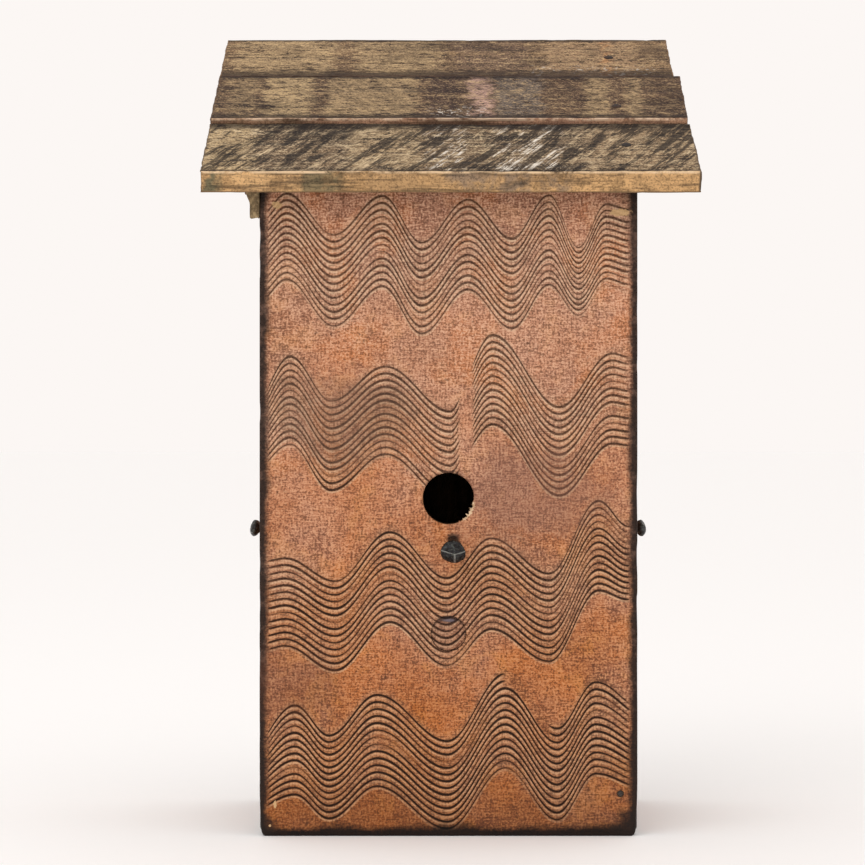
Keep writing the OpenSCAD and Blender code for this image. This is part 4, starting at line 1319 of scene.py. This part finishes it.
class MakeRoofBoards(bpy.types.Operator):
    """Three reclaimed boards, each with its own colour, saw marks and worn edges"""

    bl_idname = "birdhouse.roof_boards"
    bl_label = "Roof Boards"

    def execute(self, context):
        timber = context.scene.birdhouse_timber
        tan, grey, green = srgb(196, 168, 126), srgb(150, 140, 128), srgb(98, 96, 74)
        finishes = {
            "front": dict(
                tones=(srgb(32, 25, 22), srgb(72, 58, 46), srgb(128, 105, 80), srgb(220, 196, 158)),
                edge=srgb(214, 170, 118),
                seams=(0.013, 0.005),
                highlight_level=0.4,
                patches=[(-0.5, -0.4, tan, 0.9), (-0.2, -0.06, tan, 0.4), (0.28, 0.5, srgb(170, 142, 108), 0.7)],
                edge_patches=[(-0.49, -0.455, green, 0.9), (-0.44, -0.3, srgb(226, 182, 128), 0.7)]
                + [(-0.29, -0.215, green, 0.75), (-0.2, 0.0, srgb(178, 142, 100), 0.7)]
                + [(0.0, 0.24, srgb(150, 126, 102), 0.95), (0.35, 0.5, srgb(214, 170, 118), 0.6)],
                saw_angle=1.0,
                saw=0.95,
                limed=((-0.05, 0.03), (0.09, 0.23)),
                shift=(0.4, 0.1, 0.0),
            ),
            "middle": dict(
                tones=(srgb(38, 26, 22), srgb(76, 56, 45), srgb(114, 88, 66), srgb(194, 164, 122)),
                edge=srgb(186, 142, 112),
                seams=(0.006, 0.011),
                highlight_level=0.46,
                patches=[(-0.47, -0.41, tan, 0.5), (-0.39, -0.29, tan, 0.95), (-0.26, -0.07, tan, 0.6)]
                + [(-0.05, 0.03, srgb(70, 50, 46), 0.8), (0.045, 0.09, srgb(204, 166, 150), 0.9)]
                + [(0.1, 0.2, srgb(112, 104, 98), 0.8), (0.2, 0.5, srgb(76, 54, 46), 0.35)]
                + [(0.29, 0.34, tan, 0.6), (0.38, 0.41, tan, 0.6)],
                edge_patches=[(-0.5, -0.3, srgb(150, 120, 92), 0.6), (0.1, 0.3, srgb(150, 112, 92), 0.6)],
                saw_angle=1.53,
                saw=0.35,
                flecked=((-0.03, 0.08),),
                shift=(1.3, 0.7, 0.2),
            ),
            "rear": dict(
                tones=(srgb(46, 33, 26), srgb(104, 80, 60), srgb(152, 122, 90), srgb(214, 182, 136)),
                edge=srgb(96, 70, 56),
                seams=(0.006, 0.017),
                highlight_level=0.9,
                patches=[(-0.47, -0.25, tan, 0.6), (-0.2, -0.02, tan, 0.55), (0.02, 0.18, srgb(120, 94, 80), 0.6)]
                + [(0.22, 0.42, srgb(186, 152, 116), 0.6), (0.352, 0.36, srgb(206, 132, 66), 0.6)],
                edge_patches=[],
                saw_angle=1.5,
                saw=0.15,
                flecked=((0.19, 0.25), (0.28, 0.46)),
                shift=(2.1, 1.9, 0.4),
            ),
        }
        skews = {"front": -0.012, "middle": 0.012, "rear": 0.0}
        for seed, (name, finish) in enumerate(finishes.items()):
            low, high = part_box("roof_board_" + name)
            size, centre = sloping_size(low, high)
            material = roof_wood(f"roof_{name}", size=size, **finish)
            values = {
                "Size": size,
                **board_steps(size),
                "Arris": timber.roof_arris,
                "Wear": 1.0,
                "Grain Depth": timber.grain_depth,
                "Saw Depth": timber.saw_depth if name == "front" else timber.saw_depth * 0.35,
                "Seed": 3.1 + seed * 1.9,
                "Shear": skews[name],
                "Turn": (SLOPE, 0, 0),
                "Place": tuple(centre),
                "Finish": material,
            }
            obj = grown(f"roof_board_{name}_weathered", weathered_board_tree(), values)
            if name == "middle":
                self.old_nail_hole(obj, size, centre)
            finished(obj, ["roof_board_" + name], "house")
        return {"FINISHED"}

    def old_nail_hole(self, board, size, centre):
        """A hole left by a nail of the board's earlier use, with its mouth worn wide."""
        across = Vector((-0.0937, -0.1 * size[1], size[2] / 2))
        place = Matrix.Translation(centre) @ Matrix.Rotation(SLOPE, 4, "X") @ Matrix.Translation(across)
        bored(board, [place], 0.0011, 0.005, bare_wood("old_hole", srgb(44, 32, 26), srgb(24, 17, 14)), 1.4)


def sloping_size(low, high):
    """Length, width and thickness of a board that lies on the slope, and its centre, from its upright box."""
    depth, rise = high.y - low.y, high.z - low.z
    cosine, sine = math.cos(SLOPE), math.sin(SLOPE)
    width = (depth * cosine - rise * sine) / (cosine**2 - sine**2)
    thick = (rise * cosine - depth * sine) / (cosine**2 - sine**2)
    return (high.x - low.x, width, thick), (low + high) / 2


class MakeBackAndFloor(bpy.types.Operator):
    """Stained back board and bare floor board"""

    bl_idname = "birdhouse.back_and_floor"
    bl_label = "Back and Floor"

    def execute(self, context):
        timber = context.scene.birdhouse_timber
        stain = bare_wood("stained_back", tuple(timber.stain_colour), srgb(70, 47, 33), upright=True)
        pine = bare_wood("bare_pine", tuple(timber.inner_colour), srgb(120, 86, 54))
        height = BACK_HIGH.z - BACK_LOW.z - WALL / 2 * math.tan(SLOPE)
        size = (height, BACK_HIGH.x - BACK_LOW.x, WALL)
        values = {
            "Size": size,
            **board_steps(size, 0.0022, 0.0036),
            "Arris": timber.arris,
            "Wear": 0.8,
            "Grain Depth": timber.grain_depth * 0.6,
            "Saw Depth": 0.0,
            "Seed": 11.3,
            "End Slope": math.tan(SLOPE),
            "Turn": (math.radians(90), math.radians(-90), 0),
            "Place": (0, (BACK_LOW.y + BACK_HIGH.y) / 2, BACK_LOW.z + height / 2),
            "Finish": stain,
        }
        back = grown("back_board_stained", weathered_board_tree(), values)
        hollow = bare_wood("cut_wood", srgb(120, 92, 62), srgb(74, 52, 36), upright=True)
        out_of_back = Matrix.Translation((KEYHOLE.x, BACK_Y, KEYHOLE.z)) @ Matrix.Rotation(math.radians(-90), 4, "X")
        cut(back, self.pocket(out_of_back, hollow))
        finished(back, ["back_board"], "house")
        low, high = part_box("floor_board")
        size = tuple(high - low)
        values = {
            "Size": size,
            **board_steps(size, 0.003, 0.003),
            "Arris": timber.arris * 0.5,
            "Wear": 0.5,
            "Grain Depth": timber.grain_depth * 0.4,
            "Saw Depth": 0.0001,
            "Seed": 14.9,
            "Place": tuple((low + high) / 2),
            "Finish": pine,
        }
        floor = grown("floor_board_pine", weathered_board_tree(), values)
        drain, inset = 0.002, 0.014
        corners = [
            Matrix.Translation((x * (HALF_WIDTH - WALL - inset), y * (high.y - inset), high.z))
            for x in (-1, 1)
            for y in (-1, 1)
        ]
        bored(floor, corners, drain, 2 * (high.z - low.z), hollow)
        finished(floor, ["floor_board"], "house")
        return {"FINISHED"}

    def pocket(self, place, material):
        """Room for a screw's head behind the keyhole: a round pocket with a square way up from it."""
        radius, depth, side, top = 0.009, 0.006, 0.0044, 0.017
        pocket = lathe("pocket", [(radius, -depth), (radius, 0.002)], place, material, segments=48)
        way_up = block("way_up", (2 * side, top, depth + 0.002), (0, -top / 2, (0.002 - depth) / 2), material)
        way_up.data.transform(place)
        face_outwards(way_up)
        return cut(pocket, way_up, "UNION")


class MakeCleat(bpy.types.Operator):
    """Olive-brown cleat under the left eave, notched and worn, with both ends cut plumb"""

    bl_idname = "birdhouse.cleat"
    bl_label = "Roof Cleat"

    def execute(self, context):
        low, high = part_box("roof_cleat")
        thick = high.x - low.x
        drop = eaves(high.y) - high.z + (high.z - low.z) - (high.y - low.y) * math.tan(SLOPE)
        corners = [(0, 0), (1, 0), (0.976, -0.28), (0.69, -0.64), (0.64, -1), (0, -1)]
        outline = self.rounded([Vector((x * thick, z * drop)) for x, z in corners], 0.0011)
        stations = np.concatenate([[0, 0.0004, 0.0014], np.linspace(0.004, 0.996 * (high.y - low.y), 70)])
        stations = np.concatenate([stations[:-1], (high.y - low.y) - stations[2::-1]])
        middle = sum(outline, Vector((0, 0))) / len(outline)
        points = []
        for station, along in enumerate(stations):
            end = min(station, len(stations) - 1 - station)
            shrink = (0.9, 0.97, 0.995)[end] if end < 3 else 1.0
            for spot in outline:
                x, z = middle + (spot - middle) * shrink
                place = Vector((high.x - x, low.y + along, eaves(low.y + along) + z))
                fibre = noise.noise(Vector((place.x * 520, place.y * 9, place.z * 520)))
                knock = max(0.0, noise.noise(place * 90 + Vector((3, 1, 5))) - 0.1)
                depth = 0.00022 * fibre + 0.0012 * knock + 0.00025
                inward = (middle - spot).normalized() * depth * (1 if spot.x > 0.0003 else 0)
                points.append((place.x - inward.x, place.y, place.z + inward.y))
        mesh = bpy.data.meshes.new("roof_cleat_worn")
        faces = ring_faces(len(stations), len(outline))
        faces.append(list(range(len(outline)))[::-1])
        faces.append(list(range((len(stations) - 1) * len(outline), len(points))))
        mesh.from_pydata(points, [], faces)
        obj = new_object("roof_cleat_worn", mesh, olive_wood())
        face_outwards(obj)
        finished(smoothed(obj), ["roof_cleat"], "house")
        return {"FINISHED"}

    def rounded(self, corners, radius):
        """The outline with its corners rounded, and with points along its sides."""
        outline = []
        for index, corner in enumerate(corners):
            before, after = corners[index - 1], corners[(index + 1) % len(corners)]
            first = corner + (before - corner).normalized() * radius
            last = corner + (after - corner).normalized() * radius
            for share in (0, 0.25, 0.5, 0.75, 1):
                outline.append(first * (1 - share) ** 2 + corner * 2 * share * (1 - share) + last * share**2)
            start, stop = last, after + (corner - after).normalized() * radius
            steps = int((stop - start).length / 0.0012) + 1
            outline += [start + (stop - start) * step / steps for step in range(1, steps)]
        return outline


def solids(node):
    """Each separate solid of a CAD node, as an array of its points."""
    mesh = bmesh.new()
    mesh.from_mesh(frame["nodes"][node].data)
    bmesh.ops.remove_doubles(mesh, verts=mesh.verts, dist=1e-6)
    waiting, found = set(mesh.verts), []
    for start in mesh.verts:
        if start not in waiting:
            continue
        waiting.remove(start)
        group = [start]
        for vertex in group:
            for link in vertex.link_edges:
                other = link.other_vert(vertex)
                if other in waiting:
                    waiting.remove(other)
                    group.append(other)
        found.append(np.array([vertex.co for vertex in group]))
    mesh.free()
    return found


def driven(points):
    """Top of a nail's or screw's head, the way out from it, the radius of its head and shank, and its length."""
    centre = points.mean(0)
    axis = np.linalg.eigh(np.cov((points - centre).T))[1][:, -1]
    along = (points - centre) @ axis
    radial = np.linalg.norm(points - centre - along[:, None] * axis, axis=1)
    if radial[along > 0].max() < radial[along < 0].max():
        axis, along = -axis, -along
    tip = radial[along < along.min() + 1e-5].max()
    return Vector(centre + axis * along.max()), Vector(axis), radial.max(), tip, np.ptp(along)


def driven_fittings_tree():
    """Puts a fitting at each point, turned along one direction and spun by chance, and dents it a little."""
    found = bpy.data.node_groups.get("driven_fittings")
    if found:
        return found
    tree, wires, source, sink = geometry_tree(
        "driven_fittings",
        [
            ("Fitting", "NodeSocketObject", None),
            ("Direction", "NodeSocketVector", (0, 0, 1)),
            ("Tilt", "NodeSocketFloat", 0.0),
            ("Dent Depth", "NodeSocketFloat", 0.0001),
            ("Seed", "NodeSocketInt", 0),
            ("Finish", "NodeSocketMaterial", None),
        ],
    )
    fitting = wires.add("GeometryNodeObjectInfo", named={"Object": source["Fitting"]}).outputs["Geometry"]
    aim = wires.add("FunctionNodeAlignRotationToVector", named={"Vector": source["Direction"]}, axis="Z").outputs[0]
    spin = wires.add("FunctionNodeRandomValue", named={"Seed": source["Seed"]}, data_type="FLOAT")
    spin.inputs[3].default_value = 2 * math.pi
    lean = wires.add("FunctionNodeRandomValue", named={"Seed": wires.maths("ADD", source["Seed"], 7)}, data_type="FLOAT")
    wires.join(lean.inputs[2], wires.maths("MULTIPLY", source["Tilt"], -1))
    wires.join(lean.inputs[3], source["Tilt"])
    turn = wires.add("FunctionNodeEulerToRotation", wires.merge(lean.outputs[1], 0.0, spin.outputs[1])).outputs[0]
    turned = wires.add("FunctionNodeRotateRotation", aim, turn, rotation_space="LOCAL").outputs[0]
    placed = wires.add(
        "GeometryNodeInstanceOnPoints",
        named={"Points": source["Geometry"], "Instance": fitting, "Rotation": turned},
    )
    real = wires.add("GeometryNodeRealizeInstances", placed.outputs[0]).outputs[0]
    place = wires.tree.nodes.new("GeometryNodeInputPosition").outputs[0]
    dent = wires.maths("MULTIPLY", wires.remap(wires.noise(place, 700, 2, 0.5), 0.55, 0.3), source["Dent Depth"])
    inwards = wires.scaled(wires.tree.nodes.new("GeometryNodeInputNormal").outputs[0], wires.maths("MULTIPLY", dent, -1))
    dented = wires.add("GeometryNodeSetPosition", named={"Geometry": real, "Offset": inwards}).outputs[0]
    dressed = wires.add("GeometryNodeSetMaterial", named={"Geometry": dented, "Material": source["Finish"]})
    tree.links.new(dressed.outputs[0], sink.inputs[0])
    return tree


def turned_along(outward):
    """Turns Z to point outward, with X level and Y as far up as it can be."""
    level = Vector((0, 0, 1)).cross(outward).normalized()
    return Matrix((level, outward.cross(level), outward)).transposed().to_4x4()


class MakeNails(bpy.types.Operator):
    """Wire nails of the boards, the cleat, the roof and the pivots"""

    bl_idname = "birdhouse.nails"
    bl_label = "Nails"

    def execute(self, context):
        bright = plain_metal("dull_steel", srgb(74, 66, 60), srgb(66, 48, 38), 0.5, 0.55, 0.6)
        groups = {
            "front_board_nails": (bright, "nail_steel"),
            "back_board_nails": (rusty_steel(), "nail_steel"),
            "right_wall_nails": (bright, "nail_steel"),
            "front_pivot_nail": (bright, "nail_steel"),
            "rear_pivot_nail": (rusty_steel(), "nail_steel"),
            "roof_nails": (plain_metal("old_iron", srgb(38, 30, 26), srgb(66, 42, 30), 0.5, 0.8, 0.1), "rusty_nail"),
            "cleat_nails": (rusty_steel(), "rusty_nail"),
            "cleat_roof_nails": (rusty_steel(), "rusty_nail"),
        }
        for seed, (node, (material, slot)) in enumerate(groups.items()):
            nails = [driven(points) for points in solids(node)]
            radius, shank, long = nails[0][2:]
            dome = context.scene.birdhouse_iron.head_dome
            profile = [(0.04 * radius, dome), (0.45 * radius, 0.85 * dome), (0.8 * radius, 0.45 * dome)]
            profile += [(0.97 * radius, 0.05 * dome), (radius, -0.0004), (0.97 * radius, -0.0009)]
            profile += [(1.2 * shank, -0.0012), (shank, -0.0018), (shank, -long + 0.003), (0.05 * shank, -long)]
            grow_fittings(node + "_driven", profile, nails, material, seed + 20, 0.05, 0.00012)
            finished(bpy.data.objects[node + "_driven"], [node], "house")
        return {"FINISHED"}


def grow_fittings(name, profile, places, material, seed, tilt, dent, slot_width=0.0):
    """Fittings turned from one profile, one at each driven place."""
    fitting = lathe(name + "_fitting", profile, Matrix.Identity(4), material, segments=32)
    if slot_width:
        size = max(radius for radius, _ in profile)
        blade = block(name + "_blade", (size * 3, slot_width, 0.0009), (0, 0, profile[0][1]), material)
        cut(fitting, blade)
    smoothed(fitting)
    values = {
        "Fitting": fitting,
        "Direction": tuple(places[0][1]),
        "Tilt": tilt,
        "Dent Depth": dent,
        "Seed": seed,
        "Finish": material,
    }
    obj = grown(name, driven_fittings_tree(), values, [place[0] for place in places])
    bpy.data.objects.remove(fitting)
    return obj


def block(name, size, centre, material):
    x, y, z = (s / 2 for s in size)
    points = [(a * x, b * y, c * z) for a in (-1, 1) for b in (-1, 1) for c in (-1, 1)]
    faces = [(0, 1, 3, 2), (4, 6, 7, 5), (0, 4, 5, 1), (2, 3, 7, 6), (0, 2, 6, 4), (1, 5, 7, 3)]
    mesh = bpy.data.meshes.new(name)
    mesh.from_pydata([tuple(Vector(p) + Vector(centre)) for p in points], [], faces)
    return new_object(name, mesh, material)


class MakeForgedNails(bpy.types.Operator):
    """Perch and the two side knobs: hand-forged nails with struck heads"""

    bl_idname = "birdhouse.forged_nails"
    bl_label = "Forged Nails"

    def execute(self, context):
        self.forge("perch_nail", "house", (87, 243, 297), (0.14, -0.02), 0.42, 5)
        self.forge("door_knob_nail", "door", (40, 120, 195, 290), (0.0, -0.3), 0.36, 8)
        self.forge("right_side_nail", "house", (15, 100, 185, 270), (0.1, -0.2), 0.36, 13)
        return {"FINISHED"}

    def forge(self, node, body, facets, peak, steepness, seed):
        """A head struck along the given directions, in degrees, so that sharp ridges run between them.

        peak is where the ridges meet, from the head's middle and as a share of its radius.
        """
        top, outward, radius, shank, long = driven(solids(node)[0])
        segments = 72
        height = 0.42 * radius
        rings = []
        for share in (0.02, 0.12, 0.24, 0.36, 0.48, 0.6, 0.72, 0.84, 0.93, 1.0):
            rings.append(("face", share, 0.0))
        rings += [("side", 1.03, 0.12), ("side", 1.0, 0.3), ("side", 0.9, 0.48), ("side", 0.72, 0.62)]
        rings += [("shank", shank * 1.15, 0.85 * radius), ("shank", shank, 1.0 * radius)]
        for share in np.linspace(0.3, 0.94, 16):
            rings.append(("shank", shank * (1 + 0.05 * math.sin(share * 40)), share * long))
        rings += [("shank", shank * 0.6, 0.985 * long), ("shank", shank * 0.1, long)]
        points, ridges = [], []
        normals = [Vector((math.cos(math.radians(a)), math.sin(math.radians(a)))) for a in facets]
        peak = Vector(peak) * radius
        for kind, reach, depth in rings:
            for step in range(segments):
                angle = 2 * math.pi * step / segments
                way = Vector((math.cos(angle), math.sin(angle)))
                wave = noise.noise(Vector((way.x * 1.1, way.y * 1.1, seed)))
                lump = noise.noise(Vector((way.x * 3, way.y * 3, seed + depth * 300)))
                bulge = 1 + 0.05 * math.cos(2 * angle) + 0.13 * wave + 0.04 * lump
                ridge = 0.0
                if kind == "face":
                    spot = way * reach * radius * bulge
                    slopes = sorted(((spot - peak).dot(normal) for normal in normals), reverse=True)
                    nearest = (slopes[0] - slopes[1]) / (0.12 * radius)
                    ridge = math.exp(-(nearest**2)) * min(1, 0.75 + 0.25 * reach)
                    soft = math.sqrt(slopes[0] ** 2 + (0.1 * radius) ** 2)
                    z = height - steepness * soft * (0.55 + 0.45 * reach) - height * 0.35 * reach**4
                    z += 0.00018 * noise.noise(Vector((spot.x * 900, spot.y * 900, seed)))
                    z -= height
                elif kind == "side":
                    spot = way * reach * radius * bulge
                    edge = way * radius * bulge
                    slope_here = max((edge - peak).dot(normal) for normal in normals)
                    z = -steepness * slope_here - height * 0.35 - depth * radius
                    ridge = 0.5 if depth < 0.2 else 0.0
                else:
                    spot = way * reach * (1 + 0.08 * lump)
                    z = -max(depth, height * 0.35 + 1.25 * radius * steepness + 0.62 * radius) if depth < 0.29 * long else -depth
                points.append((spot.x, spot.y, z))
                ridges.append(ridge)
        mesh = bpy.data.meshes.new(node + "_forged")
        faces = ring_faces(len(rings), segments)
        faces.append(list(range(segments)))
        faces.append(list(range(len(points) - segments, len(points)))[::-1])
        mesh.from_pydata(points, [], faces)
        # The ridge attribute marks where black_iron paints a highlight on the head
        store(mesh, "ridge", ridges)
        mesh.transform(Matrix.Translation(top) @ turned_along(outward))
        obj = new_object(node + "_forged", mesh, black_iron())
        face_outwards(obj)
        finished(smoothed(obj), [node], body)


def plate(name, outlines, thickness, bevel, material):
    """A flat plate about z = 0 with rounded edges. The first outline is its edge and the others are its holes."""
    curve = bpy.data.curves.new(name, "CURVE")
    curve.dimensions = "2D"
    curve.fill_mode = "BOTH"
    curve.extrude = thickness / 2 - bevel
    curve.bevel_depth = bevel
    curve.bevel_resolution = 2
    curve.offset = -bevel
    for outline in outlines:
        spline = curve.splines.new("POLY")
        spline.points.add(len(outline) - 1)
        for point, (x, y) in zip(spline.points, outline):
            point.co = (x, y, 0, 1)
        spline.use_cyclic_u = True
    source = bpy.data.objects.new(name + "_outline", curve)
    bpy.context.scene.collection.objects.link(source)
    mesh = bpy.data.meshes.new_from_object(source.evaluated_get(bpy.context.evaluated_depsgraph_get()))
    bpy.data.objects.remove(source)
    mesh.materials.clear()
    welded = bmesh.new()
    welded.from_mesh(mesh)
    bmesh.ops.remove_doubles(welded, verts=welded.verts, dist=2e-6)
    bmesh.ops.recalc_face_normals(welded, faces=welded.faces)
    welded.to_mesh(mesh)
    welded.free()
    return new_object(name, mesh, material)


def arc(centre, radius, start, stop, steps=24):
    """Points along part of a circle, from one angle to another in degrees."""
    angles = [math.radians(start + (stop - start) * step / steps) for step in range(steps + 1)]
    return [(centre[0] + radius * math.cos(a), centre[1] + radius * math.sin(a)) for a in angles]


def round_hole(centre, radius):
    return arc(centre, radius, 0, 352.5, 47)


class MakeLatchAndHanger(bpy.types.Operator):
    """Turn button with its washer and screw, and the keyhole plate with its two screws"""

    bl_idname = "birdhouse.latch_and_hanger"
    bl_label = "Latch and Hanger"

    def execute(self, context):
        bevel = context.scene.birdhouse_iron.plate_bevel
        low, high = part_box("latch_button")
        width, long, thick = high.y - low.y, high.z - low.z, high.x - low.x
        pivot = Vector(next(j for j in frame["joints"] if j["name"] == "latch_turn")["pos_m"])
        away = pivot.z - low.z - width / 2
        outline = arc((0, 0), width / 2, 0, 180) + arc((0, -away), width / 2, 180, 360)
        screw = driven(solids("latch_screw")[0])
        button = plate("latch_button_zinc", [outline, round_hole((0, 0), screw[3] + 0.0002)], thick, bevel, zinc())
        stand = Matrix.Translation(((low.x + high.x) / 2, pivot.y, pivot.z)) @ self.upright_facing_left()
        settled(button, stand)
        finished(button, ["latch_button"], "latch")

        low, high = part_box("latch_washer")
        outlines = [round_hole((0, 0), (high.z - low.z) / 2), round_hole((0, 0), screw[3] + 0.0001)]
        washer = plate("latch_washer_zinc", outlines, high.x - low.x, 0.0001, zinc())
        settled(washer, Matrix.Translation(((low.x + high.x) / 2, pivot.y, pivot.z)) @ self.upright_facing_left())
        finished(washer, ["latch_washer"], "house")

        low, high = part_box("hanger_plate")
        thick = high.y - low.y
        half, foot, head = (high.x - low.x) / 2, low.z - KEYHOLE.z, high.z - KEYHOLE.z
        corner = 0.004
        edge = arc((half - corner, head - corner), corner, 0, 90, 8) + arc((corner - half, head - corner), corner, 90, 180, 8)
        edge += arc((corner - half, foot + corner), corner, 180, 270, 8) + arc((half - corner, foot + corner), corner, 270, 360, 8)
        slot, rise = 0.0024, 0.012
        lean = math.degrees(math.asin(slot / KEYHOLE_RADIUS))
        keyhole = arc((0, 0), KEYHOLE_RADIUS, 90 + lean, 450 - lean, 40) + arc((0, rise), slot, 0, 180, 20)
        screws = [driven(points) for points in solids("hanger_screws")]
        holes = [round_hole((0, s[0].z - KEYHOLE.z), s[3] + 0.0001) for s in screws]
        hanger = plate("hanger_plate_zinc", [edge, keyhole, *holes], thick, bevel, zinc())
        place = Matrix.Translation((KEYHOLE.x, (low.y + high.y) / 2, KEYHOLE.z))
        settled(hanger, place @ Matrix.Rotation(math.radians(90), 4, "X"))
        finished(hanger, ["hanger_plate"], "house")

        for seed, (node, places) in enumerate({"hanger_screws": screws, "latch_screw": [screw]}.items()):
            radius, shank, long = places[0][2:]
            profile = [(0.05 * radius, 0), (0.6 * radius, -0.0001), (0.9 * radius, -0.0005), (radius, -0.0011)]
            profile += [(radius, -0.0019), (1.02 * shank, -0.002), (shank, -0.0026)]
            turns = 9
            for turn in range(turns):
                start = -0.004 - turn * (long - 0.007) / turns
                profile += [(shank, start), (0.74 * shank, start - 0.0005), (0.76 * shank, start - 0.0009)]
            profile += [(0.5 * shank, -long + 0.001), (0.05 * shank, -long)]
            grow_fittings(node + "_turned", profile, places, zinc(), 40 + seed, 0.0, 0.00003, 0.0008)
            finished(bpy.data.objects[node + "_turned"], [node], "house")
        return {"FINISHED"}

    def upright_facing_left(self):
        """Takes a plate's x across, y up and z out to the house's left side."""
        return Matrix.Rotation(math.radians(-90), 4, "Z") @ Matrix.Rotation(math.radians(90), 4, "X")


class MakeStage(bpy.types.Operator):
    """Camera, soft studio light and pale floor"""

    bl_idname = "birdhouse.stage"
    bl_label = "Stage"

    def execute(self, context):
        stage = context.scene.birdhouse_stage
        context.scene.view_settings.view_transform = "Standard"
        data = bpy.data.cameras.new("camera")
        data.lens = stage.lens
        data.shift_x = stage.side_shift
        camera = bpy.data.objects.new("camera", data)
        camera.location = (0, FRONT_Y - stage.camera_distance, stage.camera_height)
        camera.rotation_euler = (math.radians(90), 0, 0)
        context.scene.collection.objects.link(camera)
        context.scene.camera = camera

        world = bpy.data.worlds.new("studio")
        world.use_nodes = True
        ground = world.node_tree.nodes["Background"]
        ground.inputs["Color"].default_value = (*srgb(252, 247, 244), 1)
        ground.inputs["Strength"].default_value = stage.sky
        context.scene.world = world
        self.soft_light("key", (-0.9, -1.6, 1.5), 1.6, stage.key_power)

        mesh = bpy.data.meshes.new("floor")
        reach = 30.0
        mesh.from_pydata([(-reach, -reach, 0), (reach, -reach, 0), (reach, reach, 0), (-reach, reach, 0)], [], [(0, 1, 2, 3)])
        floor = new_object("studio_floor", mesh, self.pale_paper())
        return {"FINISHED"}

    def soft_light(self, name, place, size, power):
        data = bpy.data.lights.new(name, "AREA")
        data.size = size
        data.energy = power
        light = bpy.data.objects.new(name, data)
        light.location = place
        target = (CAD_BOX[0] + CAD_BOX[1]) / 2
        light.rotation_euler = (target - Vector(place)).to_track_quat("-Z", "Y").to_euler()
        bpy.context.scene.collection.objects.link(light)

    def pale_paper(self):
        def shade(wires, shader):
            fibre = wires.noise(object_point(wires), 90, 2, 0.5)
            wires.join(shader.inputs["Base Color"], wires.mix(fibre, srgb(253, 254, 254), srgb(255, 255, 255)))
            shader.inputs["Roughness"].default_value = 0.9

        return new_material("pale_paper", shade)


class BirdhousePanel(bpy.types.Panel):
    """Lists the pieces of the birdhouse"""

    bl_idname = "BIRDHOUSE_PT_pieces"
    bl_label = "Birdhouse"
    bl_space_type = "VIEW_3D"
    bl_region_type = "UI"
    bl_category = "Birdhouse"

    def draw(self, context):
        for operator in OPERATORS:
            self.layout.operator(operator.bl_idname)


SETTINGS = {
    "birdhouse_paint": PaintSettings,
    "birdhouse_timber": TimberSettings,
    "birdhouse_iron": IronSettings,
    "birdhouse_stage": StageSettings,
}
OPERATORS = (
    MakeStage,
    MakeFrontBoard,
    MakeSideWalls,
    MakeBackAndFloor,
    MakeRoofBoards,
    MakeCleat,
    MakeNails,
    MakeForgedNails,
    MakeLatchAndHanger,
)


def register():
    for name, group in SETTINGS.items():
        bpy.utils.register_class(group)
        setattr(bpy.types.Scene, name, PointerProperty(type=group))
    for operator in OPERATORS:
        bpy.utils.register_class(operator)
    bpy.utils.register_class(BirdhousePanel)


def unregister():
    bpy.utils.unregister_class(BirdhousePanel)
    for operator in reversed(OPERATORS):
        bpy.utils.unregister_class(operator)
    for name, group in SETTINGS.items():
        delattr(bpy.types.Scene, name)
        bpy.utils.unregister_class(group)


def main():
    register()
    for operator in OPERATORS:
        category, name = operator.bl_idname.split(".")
        getattr(getattr(bpy.ops, category), name)()


if __name__ == "__main__":
    main()
